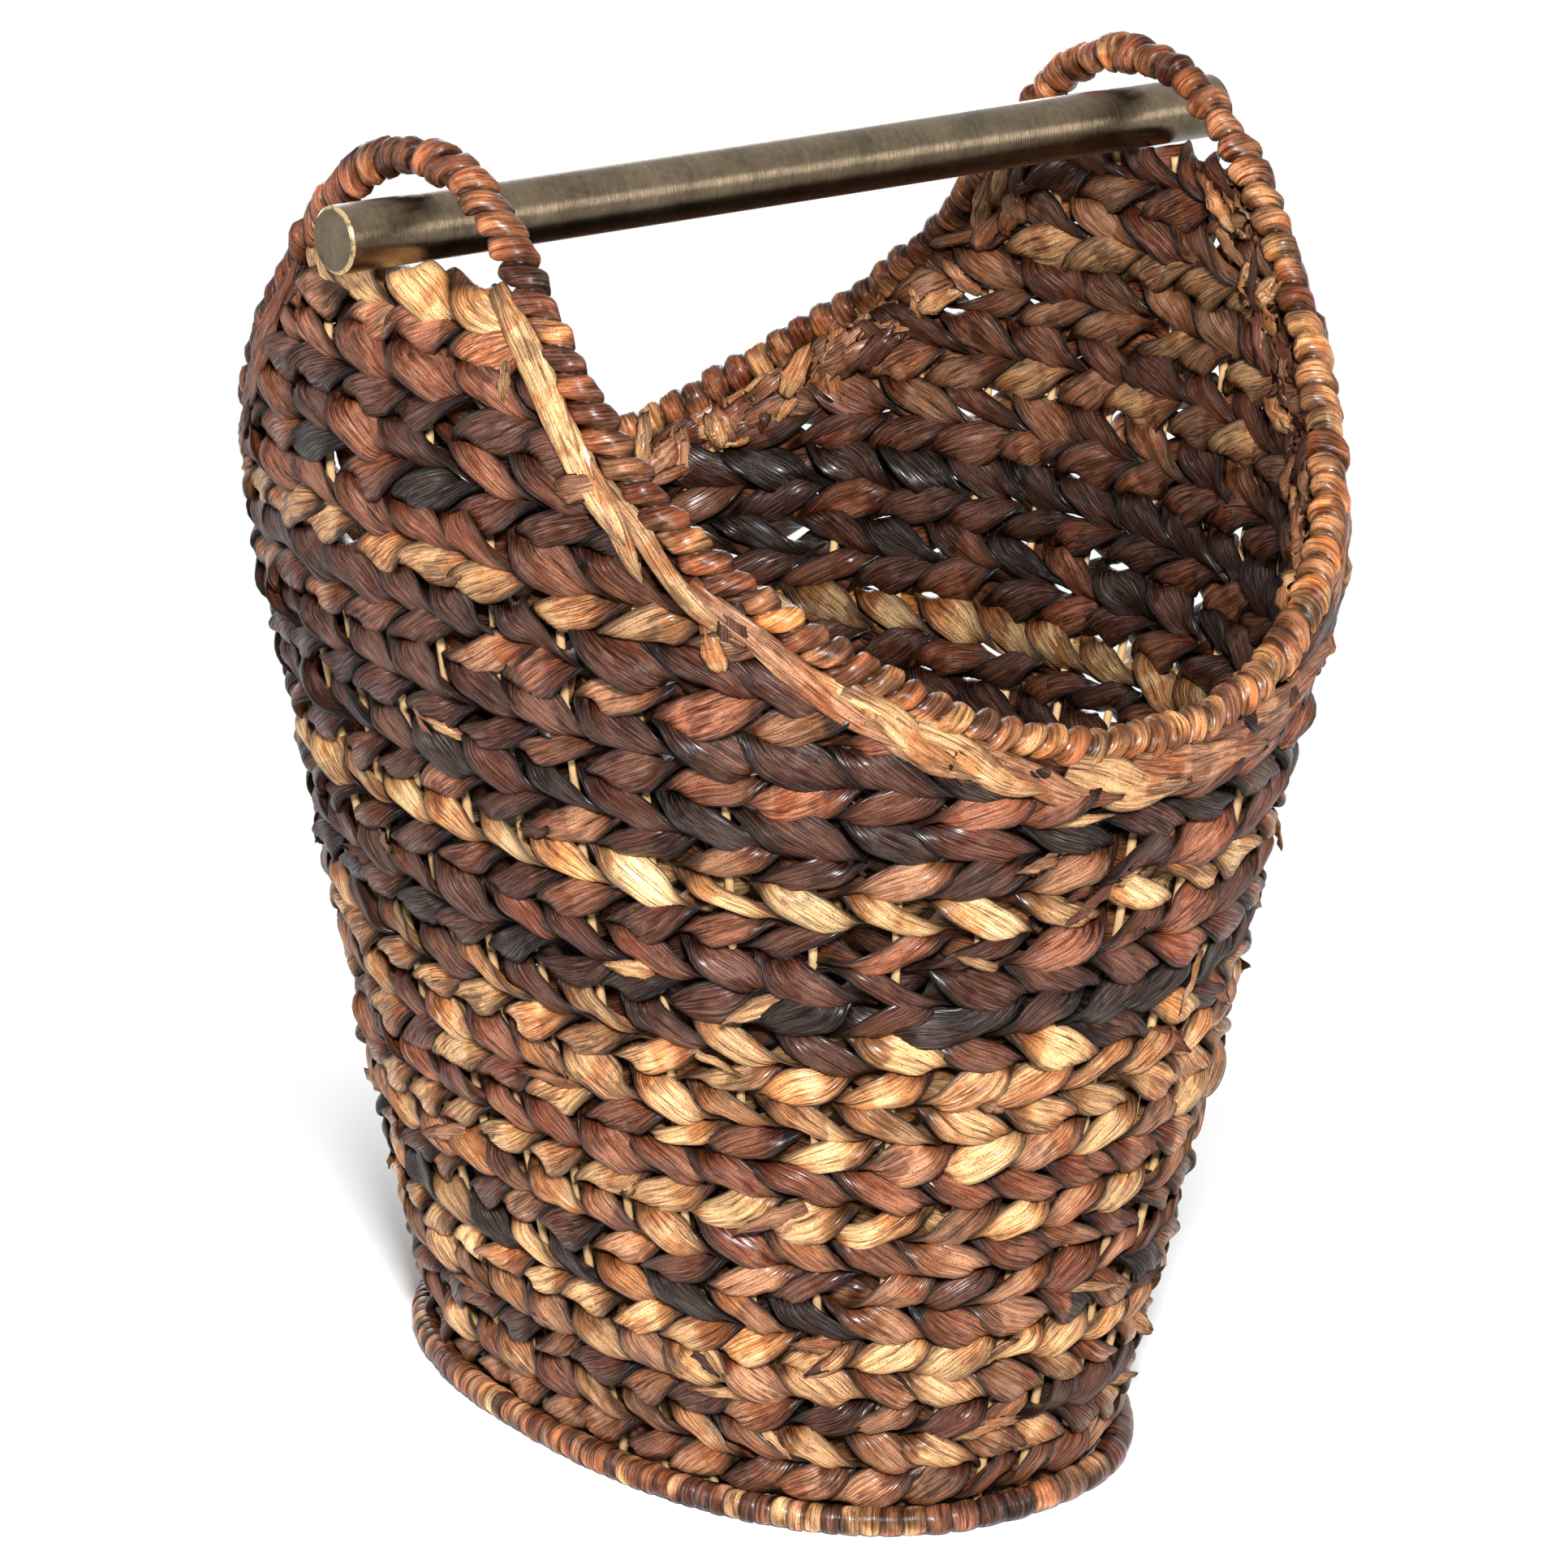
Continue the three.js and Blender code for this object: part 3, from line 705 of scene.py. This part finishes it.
def wound_hoop(name, path_at, out_at, radius, bead, slant, turn_length, tones, draw):
    """A strip wound round a closed path, with the length of a turn given by the angle. Along a turn the
    radius swells by half an ellipse with a slanted fold on it, so that turns meet in grooves, and the turns
    slant by a cosine round the hoop. Each turn has its own size, lumps and patches of tone, and painted
    shade:
    darker in the grooves, lighter on the swell, and lighter and darker across the fold. The grid follows
    the winding: its columns close one turn further on."""
    steps = np.diff(run_length(path_at(RING_ANGLES))) / turn_length(RING_ANGLES[1:])
    wound = np.concatenate([[0], np.cumsum(steps)])
    turns = int(wound[-1])
    phase = np.arange(turns * WRAP_STEPS) / WRAP_STEPS
    spin = np.arange(WRAP_SIDES) / WRAP_SIDES
    way = TURN * spin
    at = (phase[:, None] + spin - slant * np.cos(way)) / turns % 1 * wound[-1]
    angle = np.interp(at, wound, RING_ANGLES)
    middle = path_at(angle)
    along = unit(path_at(angle + NUDGE) - path_at(angle - NUDGE))
    out = out_at(angle)
    out = unit(out - along * np.sum(out * along, -1, keepdims=True))
    side = np.cross(along, out)
    wrap = np.floor(phase).astype(int)
    part = phase - wrap
    size = draw.uniform(*WRAP_SIZES, turns)[wrap]
    swell = np.sqrt(np.maximum(1 - (2 * part - 1) ** 2, 0)) * size
    waves = np.stack([np.cos(way), np.sin(way), np.cos(2 * way), np.sin(2 * way)])
    lump = np.clip(1 + draw.normal(0, WRAP_LUMP, (turns, 4))[wrap] @ waves, *WRAP_LUMP_RANGE)
    fold = np.cos(TURN * (part[:, None] + 2 * spin) + draw.uniform(0, TURN, turns)[wrap][:, None])
    wide = radius - bead + bead * swell[:, None] * (1 + WRAP_FOLD * fold) * lump
    wide = np.minimum(wide, radius)[..., None]
    points = middle + wide * (side * np.cos(way)[:, None] + out * np.sin(way)[:, None])
    faces = grid_faces(len(phase), WRAP_SIDES, True, WRAP_STEPS)
    patch = np.clip(1 + draw.normal(0, WRAP_PATCH, (turns, 4))[wrap] @ waves, *WRAP_PATCH_RANGE)
    # Painted shade: darker in the grooves and lighter on the swell, lighter and darker across the fold; the
    # patches are the leaf's own tone
    shade = (WRAP_GROOVE_SHADE + WRAP_SWELL_SHADE * swell)[:, None] * patch * (1 + WRAP_FOLD_SHADE * fold)
    tone = (tones(draw, angle[::WRAP_STEPS, 0])[wrap][:, None] * shade[..., None]).reshape(-1, 3)
    i, j = faces // WRAP_SIDES, faces % WRAP_SIDES
    first = i[:, :1]
    v = (first + np.array([0, 1, 1, 0])) / WRAP_STEPS * radius
    u = (j[:, :1] + np.array([0, 0, 1, 1])) / WRAP_SIDES * TURN * radius
    run = np.stack([u + WRAP_RUN * (first // WRAP_STEPS), v], -1)
    return make_piece(name, points.reshape(-1, 3), faces, wrap_finish, run, tone)


def base_path(angle):
    """The middle of the base ring: the foot's oval, set out by half a ring and half a strand."""
    half_width, half_depth = half_axes(np.array(BASE_AT))
    return oval_point(half_width + BASE_OUTSET, half_depth + BASE_OUTSET, angle, BASE_RADIUS)


def base_turns(angle):
    """Length of a turn: short at the left and back, and longest at the front right, by a squared cosine."""
    return BASE_TURN + (BASE_FLAT_TURN - BASE_TURN) * np.clip(np.cos(angle - BASE_FLAT_AT), 0, 1) ** 2


def picked_tones(draw, weights, count):
    """A tone for each of a count of leaves, drawn by the weights, and each a little darker or lighter."""
    picks = draw.choice(list(weights), count, p=list(weights.values()))
    return np.array([TONES[pick] for pick in picks]) * draw.uniform(*PICKED_STRENGTH, (count, 1))


def base_tones(draw, angle):
    """Leaf tones of the turns, drawn one by one from the browns."""
    return picked_tones(draw, BASE_TONES, len(angle))


base_ring = wound_hoop(
    "bound_base_ring",
    base_path,
    lambda angle: wall_frame(angle, np.full(np.shape(angle), BASE_AT))[1] * (1, 1, 0),
    BASE_RADIUS, BASE_BEAD, BASE_SLANT, base_turns, base_tones, np.random.default_rng(41),
)
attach(base_ring, "basket")
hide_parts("base_ring")

# Rim: a stiff hoop, low at front and back and raised to a loop at each ear, bound close with one leaf strip.
# The strip's turns lie edge to edge like beads. It also ties the hoop to the tops of the stakes.
RIM_RADIUS = 0.0073
RIM_BEAD = 0.0038
RIM_SLANT = 0.14
RIM_TURN = 0.0084
RIM_LOOSE_TURN = 0.0098
RIM_LIGHT_AT = -1.0
RIM_EAR_SHADE = 0.35
RIM_LEAST = 0.8
RIM_LIGHTEN = 1.75
RIM_SPREAD = 0.65
RIM_TINT = (0.94, 0.835, 0.7)


def rim_path(angle):
    """The middle of the rim hoop: the wall's oval at the rim's height."""
    return wall_point(angle, rim_height(angle))


def rim_turns(angle):
    """Length of a turn: short at the front and back, and longest over the loops of the ears."""
    return RIM_TURN + (RIM_LOOSE_TURN - RIM_TURN) * np.abs(np.cos(angle))


def rim_tones(draw, angle):
    """Leaf tones of the turns: dark at the ears and the back left, lighter along the front right."""
    light = 0.5 + 0.5 * np.cos(angle - RIM_LIGHT_AT) - RIM_EAR_SHADE * np.cos(angle) ** 8
    order = np.array([TONES[name] for name in ("dark", "russet", "brown", "tan")])
    pick = np.clip(draw.normal(RIM_LEAST + RIM_LIGHTEN * light, RIM_SPREAD), 0, len(order) - 1.001)
    low = np.floor(pick).astype(int)
    part = (pick - low)[:, None]
    return (order[low] * (1 - part) + order[low + 1] * part) * RIM_TINT


rim = wound_hoop(
    "bound_rim",
    rim_path,
    lambda angle: wall_frame(angle, rim_height(angle))[1],
    RIM_RADIUS, RIM_BEAD, RIM_SLANT, rim_turns, rim_tones, np.random.default_rng(43),
)
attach(rim, "basket")
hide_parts("rim_core", "rim_binding")

# Border leaves: broad flat strips of golden and brown leaf, laid along the outside wall under the rim.
# They cover the ends of the rows. The rim's binding catches one end of each, and the other end is free.
BORDER_STEPS = 22
BORDER_SIDES = 12
BORDER_COUNT = 50
BORDER_WIDTH = 0.0132
BORDER_THICKNESS = 0.0016
BORDER_END = 0.988
BORDER_FRAY = 0.001
BORDER_UNDER_RIM = 0.0062
BORDER_DROP = (0.004, 0.009)
BORDER_FRONT_DROP = 0.006
BORDER_WAVE = 0.0014
BORDER_OFF_WALL = 0.005
BORDER_LIFT = (0.0014, 0.003)
BORDER_SPANS = (1.8, 3.4)
BORDER_FRONT_WIDTH = 0.45
BORDER_SUNNY = np.radians((165, 284))
SUNNY_TONES = {"gold": 0.35, "tan": 0.4, "brown": 0.25}
DUSKY_TONES = {"brown": 0.35, "dark": 0.25, "russet": 0.2, "tan": 0.2}
CRUMPLE = 0.0004
CURL_CRUMPLE = 0.14

blade_finish = leaf_look("flat_leaf", 2200, 0.0006, 0.26, 0.4)


def leaf_blades(path, out, width, thick, curl, taper, fray, sides, draw):
    """Leaf strips: a thin lens carried along each path and turned to face out, narrowed by its taper, bowed
    across by its curl and crumpled by two waves. fray moves each point near the far end along by its own
    length."""
    total = len(path)
    along = unit(np.gradient(path, axis=1))
    out = unit(out - along * np.sum(out * along, -1, keepdims=True))
    side = np.cross(along, out)
    share = np.linspace(0, 1, path.shape[1])[:, None]
    around = TURN * np.arange(sides) / sides
    x, y = np.cos(around), np.sin(around)
    size = width[:, None, None] * taper[:, None]
    first, second = draw.uniform(0, TURN, (2, total, 1, 1))
    ragged = 1 + 0.06 * np.sin(first + 9 * share) + 0.05 * np.sin(second + 15 * share * np.sign(x))
    wide = size * ragged / 2 * x
    crumple = np.sin(first + 11 * share + 4 * x) + 0.6 * np.sin(second + 19 * share - 6 * x)
    bow = curl[:, None, None] * size * (1 - x**2)
    depth = CRUMPLE + CURL_CRUMPLE * np.abs(curl)[:, None, None] * size
    proud = thick * taper[:, None] * y / 2 + bow + depth * crumple
    torn = fray * draw.uniform(-1, 1, (total, 1, sides)) * share**4
    points = path[:, :, None] + side[:, :, None] * wide[..., None] + out[:, :, None] * proud[..., None]
    return points + along[:, :, None] * torn[..., None]


def blade_tones(draw, weights, grid):
    """One tone for each strip, paler in its middle and darker at its ends and edges."""
    count, steps, sides = grid.shape[:3]
    tone = picked_tones(draw, weights, count)
    share = np.linspace(0, 1, steps)[:, None]
    edge = np.cos(TURN * np.arange(sides) / sides) ** 4
    shade = (0.62 + 0.45 * np.sin(np.pi * share)) * (1 - 0.3 * edge)
    return tone[:, None, None] * shade[..., None]


def rim_frame(angle):
    """A point of the rim, its way out of the wall, and its way down from the rim within the wall."""
    along = unit(rim_path(angle + NUDGE) - rim_path(angle - NUDGE))
    out = wall_frame(angle, rim_height(angle))[1]
    return rim_path(angle), out, unit(np.cross(along, out))


rim_lengths = run_length(rim_path(RING_ANGLES))


def rim_angle(share):
    """Angle round the oval at a share of the rim's length."""
    return np.interp(share % 1 * rim_lengths[-1], rim_lengths, RING_ANGLES)


def border_blades(draw):
    """Strips round the rim, each starting past the last: one end lies under the rim, and the strip slants
    away. They are broadest at the front."""
    starts = (np.arange(BORDER_COUNT) + draw.uniform(-0.3, 0.3, BORDER_COUNT)) / BORDER_COUNT
    spans = draw.uniform(*BORDER_SPANS, BORDER_COUNT) / BORDER_COUNT
    share = np.linspace(0, 1, BORDER_STEPS)
    angle = rim_angle(starts[:, None] + spans[:, None] * share)
    front = np.clip(-np.sin(angle[:, :1]), 0, 1) ** 6
    middle, out, down = rim_frame(angle)
    drop = draw.uniform(*BORDER_DROP, (BORDER_COUNT, 1)) + BORDER_FRONT_DROP * front
    wave = BORDER_WAVE * np.sin(TURN * (1.2 * share + draw.uniform(0, 1, (BORDER_COUNT, 1))))
    low = BORDER_UNDER_RIM + drop * share + wave
    proud = BORDER_OFF_WALL + draw.uniform(*BORDER_LIFT, (BORDER_COUNT, 1)) * share
    path = middle + low[..., None] * down + proud[..., None] * out
    width = BORDER_WIDTH * draw.uniform(0.6, 1.0, BORDER_COUNT) * (1 + BORDER_FRONT_WIDTH * front[:, 0])
    taper = np.sin(np.pi * (0.25 + 0.72 * share)) ** 0.8
    curl = draw.uniform(0.02, 0.16, BORDER_COUNT)
    grid = leaf_blades(path, out, width, BORDER_THICKNESS, curl, taper, BORDER_FRAY, BORDER_SIDES, draw)
    clear = np.abs(np.cos(angle)).max(1) < BORDER_END
    return grid[clear], (starts + spans / 2)[clear]


draw = np.random.default_rng(53)
border, border_share = border_blades(draw)
sunny = blade_tones(draw, SUNNY_TONES, border)
dusky = blade_tones(draw, DUSKY_TONES, border)
border_angle = rim_angle(border_share)
front_left = (border_angle > BORDER_SUNNY[0]) & (border_angle < BORDER_SUNNY[1])
border_tone = np.where(front_left[:, None, None, None], sunny, dusky)
border_leaves = twined_piece("border_leaves", [(border, border_tone, False)], blade_finish, draw)
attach(border_leaves, "basket")

# Row ends: cut ends of the ear rows' leaves, bent up under the slopes of the rim, mostly inside the wall.
# They are dry, crumpled and frayed.
TIP_COUNT = 200
TIP_STEPS = 12
TIP_SIDES = 8
TIP_LENGTH = 0.021
TIP_WIDTH = 0.0082
TIP_THICKNESS = 0.0008
TIP_FRAY = 0.006
TIP_BELOW_RIM = (0.007, 0.021)
TIP_OFF_WALL = (0.003, 0.007)
TIP_CLEAR_OF_LOOP = 0.24
TIP_SPREAD = 1.25
TIP_SIDE = (-1, -1, -1, -1, -1, -1, 1)
TIP_LEAN = (0.6, 0.7)
TIP_BOW = 0.0022
TIP_TONES = {"brown": 0.3, "tan": 0.35, "russet": 0.15, "dark": 0.2}


def row_tips(draw):
    """Short strips along the slopes of the rim, half as many at the left ear as at the right: each lies close
    to the wall, heads along the slope and up, and bows off the wall by half a sine."""
    right = draw.uniform(-TIP_SPREAD, TIP_SPREAD, TIP_COUNT)
    left = np.pi + draw.uniform(-TIP_SPREAD, TIP_SPREAD, TIP_COUNT // 2)
    angle = np.concatenate([right, left])
    angle = angle[np.abs(np.sin(angle)) > TIP_CLEAR_OF_LOOP]
    total = len(angle)
    middle, out, down = rim_frame(angle)
    along = np.cross(down, out)
    inside = draw.choice(TIP_SIDE, total)
    face = out * inside[:, None]
    way = np.where(np.sin(2 * angle) > 0, -1, 1)[:, None]
    share = np.linspace(0, 1, TIP_STEPS)
    lean = draw.normal(*TIP_LEAN, total)[:, None]
    heading = -along * way * np.cos(lean) - down * np.sin(lean) * 0.7
    length = TIP_LENGTH * draw.uniform(0.7, 1.25, total)
    lower = draw.uniform(*TIP_BELOW_RIM, total)[:, None]
    start = middle + down * lower + face * draw.uniform(*TIP_OFF_WALL, total)[:, None]
    bow = TIP_BOW * draw.uniform(0.2, 1.4, total)[:, None] * np.sin(np.pi * share)
    path = start[:, None] + heading[:, None] * (length[:, None] * (share - 0.5))[..., None]
    path = path + face[:, None] * bow[..., None]
    width = TIP_WIDTH * draw.uniform(0.6, 1.3, total)
    taper = 0.45 + 0.55 * np.sin(np.pi * share) ** 0.5
    curl = draw.uniform(-0.6, 0.6, total)
    face = np.broadcast_to(face[:, None], path.shape)
    return leaf_blades(path, face, width, TIP_THICKNESS, curl, taper, TIP_FRAY, TIP_SIDES, draw)


draw = np.random.default_rng(59)
tips = row_tips(draw)
tip_tone = blade_tones(draw, TIP_TONES, tips)
row_ends = twined_piece("row_ends", [(tips, tip_tone, False)], blade_finish, draw)
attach(row_ends, "basket")

# Spliced ends: where one leaf runs out and the next is laid in, a short dry end sticks out between two rows.
# They are scattered over the outside of the wall.
SPLICE_COUNT = 110
SPLICE_LENGTH = 0.021
SPLICE_WIDTH = 0.0062
SPLICE_FRAY = 0.0025
SPLICE_LEAN = 0.4
SPLICE_OFF_WALL = 0.0034
SPLICE_LIFT = 0.0046
SPLICE_TONES = {"brown": 0.35, "tan": 0.3, "russet": 0.2, "dark": 0.15}


def spliced_ends(draw):
    """Short pointed strips on the closed rows: each comes out between two rows and runs along the wall."""
    row = draw.integers(1, FULL_ROWS - 1, SPLICE_COUNT)
    angle = draw.uniform(0, TURN, SPLICE_COUNT)
    height = FIRST_ROW + ROW_PITCH * (row + 0.5) + ROW_RISE * row / FULL_ROWS * np.cos(angle) ** 2
    base, out, up = wall_frame(angle, height)
    lean = draw.normal(0, SPLICE_LEAN, SPLICE_COUNT)[:, None]
    way = draw.choice([-1, 1], (SPLICE_COUNT, 1))
    heading = np.cross(up, out) * np.cos(lean) * way + up * np.sin(lean)
    share = np.linspace(0, 1, TIP_STEPS)
    length = SPLICE_LENGTH * draw.uniform(0.6, 1.2, (SPLICE_COUNT, 1)) * share
    lift = SPLICE_LIFT * draw.uniform(0.8, 1.15, (SPLICE_COUNT, 1))
    proud = SPLICE_OFF_WALL + lift * share**0.7
    path = base[:, None] + heading[:, None] * length[..., None] + out[:, None] * proud[..., None]
    width = SPLICE_WIDTH * draw.uniform(0.6, 1.3, SPLICE_COUNT)
    taper = np.sin(np.pi * (0.3 + 0.66 * share)) ** 0.8
    curl = draw.uniform(-0.25, 0.25, SPLICE_COUNT)
    face = np.broadcast_to(out[:, None], path.shape)
    return leaf_blades(path, face, width, TIP_THICKNESS, curl, taper, SPLICE_FRAY, TIP_SIDES, draw)


draw = np.random.default_rng(61)
splices = spliced_ends(draw)
splice_tone = blade_tones(draw, SPLICE_TONES, splices)
splice_ends = twined_piece("spliced_ends", [(splices, splice_tone, False)], blade_finish, draw)
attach(splice_ends, "basket")

# Roll bar: one solid rod of brass, turned on a lathe, its edges chamfered and its finish aged dark.
# It lies through the two ear loops on the top rows, and is drawn out sideways to load the rolls.
BAR_SIDES = 96
BAR_END_RINGS = 8
BAR_LONG_RINGS = 60
BAR_HUB = 0.02
BAR_CHAMFER = 0.0011
BRASS_LIGHT = (0.25, 0.192, 0.122, 1)
BRASS_DARK = (0.075, 0.058, 0.04, 1)
BRASS_WORN = (0.75, 0.55, 0.28, 1)
BAR_LINE = 0.0007

bar_low, bar_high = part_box("roll_bar")
bar_radius = (bar_high.z - bar_low.z) / 2
bar_height = (bar_high.z + bar_low.z) / 2
bar_end = bar_high.x - BAR_CHAMFER

bar_finish, place, _ = start_finish("aged_brass")
along_bar = place.node("ShaderNodeSeparateXYZ", None, {0: place})
rings = place.math("SINE", along_bar * (TURN / BAR_LINE), 0.0) * 0.5 + 0.5
drag = place.stretch((1900, 12, 12)).noise(1, 3, 0.6)
bloom = place.noise(60, 5, 0.6)
fine = place.noise(420, 3, 0.6)
age = rings * 0.1 + drag * 0.3 + bloom * 0.6 + fine * 0.34 - 0.15
aged = age.ramp((0.3, 0), (0.75, 1)).blend(BRASS_DARK, BRASS_LIGHT)
at_end = place.math("GREATER_THAN", place.math("ABSOLUTE", along_bar, 0.0), bar_end)
from_axis = place.node("ShaderNodeVectorMath", {"operation": "SUBTRACT"}, {0: place, 1: (0, 0, bar_height)})
off_axis = place.node("ShaderNodeVectorMath", {"operation": "LENGTH"}, {0: from_axis.stretch((0, 1, 1))}, 1)
at_edge = (off_axis * (0.8 / bar_radius)).ramp((0.7, 0), (0.74, 1))
# Real wear: bright brass at the rim of each end face
wear_and_glint = at_end * at_edge * fine.ramp((0.35, 0.2), (0.5, 1))
end_finish({
    "Base Color": wear_and_glint.blend(aged, BRASS_WORN),
    "Metallic": 1.0,
    "Roughness": bloom * 0.16 + 0.18,
    "Normal": (rings * 0.5 + drag).relief(0.25, 0.0003),
}, place)


def turned_bar(low_x, high_x, radius, height):
    """A profile turned about the bar's axis: the long side, with a chamfer and a flat face at each end."""
    flat = np.linspace(BAR_HUB, 1, BAR_END_RINGS) * (radius - BAR_CHAMFER)
    long = np.linspace(low_x + BAR_CHAMFER, high_x - BAR_CHAMFER, BAR_LONG_RINGS)
    x = np.concatenate([np.full(BAR_END_RINGS, low_x), long, np.full(BAR_END_RINGS, high_x)])
    r = np.concatenate([flat, np.full(BAR_LONG_RINGS, radius), flat[::-1]])
    spin = TURN * np.arange(BAR_SIDES) / BAR_SIDES
    y = -r[:, None] * np.cos(spin)
    z = height + r[:, None] * np.sin(spin)
    rings = np.stack([np.broadcast_to(x[:, None], y.shape), y, z], -1)
    return rings.reshape(-1, 3), grid_faces(len(x), BAR_SIDES, False)


points, faces = turned_bar(bar_low.x, bar_high.x, bar_radius, bar_height)
bar = make_piece("turned_roll_bar", points, faces, bar_finish)
bar.data.set_sharp_from_angle(angle=np.radians(30))
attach(bar, "bar")
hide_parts("roll_bar")

# Studio: a plain white floor that runs out to a white background, soft light from the left and above,
# and the camera at the photograph's place.
FLOOR_HALF = 6.0
FLOOR_WHITE = (0.95, 0.95, 0.95, 1)
WORLD_LEVEL = 0.05
LAMP_DISTANCE = 2.6
LAMP_AIM = (0, 0, 0.2)

floor_finish, place, _ = start_finish("pale_floor")
reach = place.node("ShaderNodeVectorMath", {"operation": "LENGTH"}, {0: place}, 1)


def seen_rays(value):
    """1 for a ray that shows the background: a camera ray, or one that a shiny or clear surface sends on."""
    kinds = ("Is Camera Ray", "Is Glossy Ray", "Is Transmission Ray")
    camera_ray, glossy_ray, clear_ray = (value.node("ShaderNodeLightPath", out=kind) for kind in kinds)
    return value.math("MINIMUM", camera_ray + glossy_ray + clear_ray, 1.0)


far = reach.ramp((0.14, 0), (0.34, 1)) * seen_rays(place)
paper = place.node("ShaderNodeBsdfPrincipled", None, {"Base Color": FLOOR_WHITE, "Roughness": 0.9})
white = place.node("ShaderNodeEmission", None, {"Color": (1, 1, 1, 1), "Strength": 1.0})
blank = place.node("ShaderNodeMixShader", None, {0: far, 1: paper, 2: white})
place.node("ShaderNodeOutputMaterial", None, {"Surface": blank})
corner = np.array([[-1, -1, 0], [1, -1, 0], [1, 1, 0], [-1, 1, 0]]) * FLOOR_HALF
floor = make_piece("floor", corner, np.array([[0, 1, 2, 3]]), floor_finish)

world = bpy.data.worlds.new("studio")
bpy.context.scene.world = world
world.use_nodes = True
sky = world.node_tree.nodes["Background"]
sky.inputs["Color"].default_value = (1, 1, 1, 1)
shown_level = seen_rays(Value(sky.outputs[0])) * (1 - WORLD_LEVEL) + WORLD_LEVEL
world.node_tree.links.new(shown_level.socket, sky.inputs["Strength"])


def way_round(azimuth, elevation):
    """The way out to a place round the object, in degrees: to the right of the front, and up."""
    azimuth, elevation = np.radians(azimuth), np.radians(elevation)
    flat = np.cos(elevation)
    return np.array([np.sin(azimuth) * flat, -np.cos(azimuth) * flat, np.sin(elevation)])


def set_up(name, data, place, back, right):
    """A lamp or camera in the scene at a place, turned by its way back and its way right."""
    turn = np.stack([right, np.cross(back, right), back], 1)
    holder = bpy.data.objects.new(name, data)
    holder.matrix_world = Matrix.Translation(place.tolist()) @ Matrix(turn.tolist()).to_4x4()
    bpy.context.scene.collection.objects.link(holder)
    return holder


def soft_lamp(name, azimuth, elevation, size, power):
    """A square area lamp round the object, level and turned to the lamps' aim."""
    lamp = bpy.data.lights.new(name, "AREA")
    lamp.size = size
    lamp.energy = power
    place = LAMP_DISTANCE * way_round(azimuth, elevation)
    back = unit(place - LAMP_AIM)
    set_up(name, lamp, place, back, unit(np.cross((0, 0, 1), back)))


soft_lamp("key_lamp", -37, 34, 0.3, 132)
soft_lamp("left_lamp", -112, 24, 0.8, 18)
soft_lamp("right_lamp", 35, 20, 0.8, 12)
soft_lamp("back_lamp", 150, 12, 1.4, 26)

CAMERA_AZIMUTH = -40.25
CAMERA_ELEVATION = 18.276
CAMERA_ROLL = np.radians(1.505)
CAMERA_DISTANCE = 2.02988
CAMERA_AIM = (0, 0, 0.21)
CAMERA_SLIDE = (0.00074, 0.0105)
CAMERA_LENS = 135.18
CAMERA_SENSOR = 36

back = way_round(CAMERA_AZIMUTH, CAMERA_ELEVATION)
level = unit(np.cross((0, 0, 1), back))
upright = np.cross(back, level)
spot = CAMERA_AIM + CAMERA_SLIDE[0] * level + CAMERA_SLIDE[1] * upright + CAMERA_DISTANCE * back
right = level * np.cos(CAMERA_ROLL) + upright * np.sin(CAMERA_ROLL)
lens = bpy.data.cameras.new("photo_camera")
lens.lens = CAMERA_LENS
lens.sensor_width = CAMERA_SENSOR
bpy.context.scene.camera = set_up("photo_camera", lens, spot, back, right)
bpy.context.scene.view_settings.view_transform = "Standard"
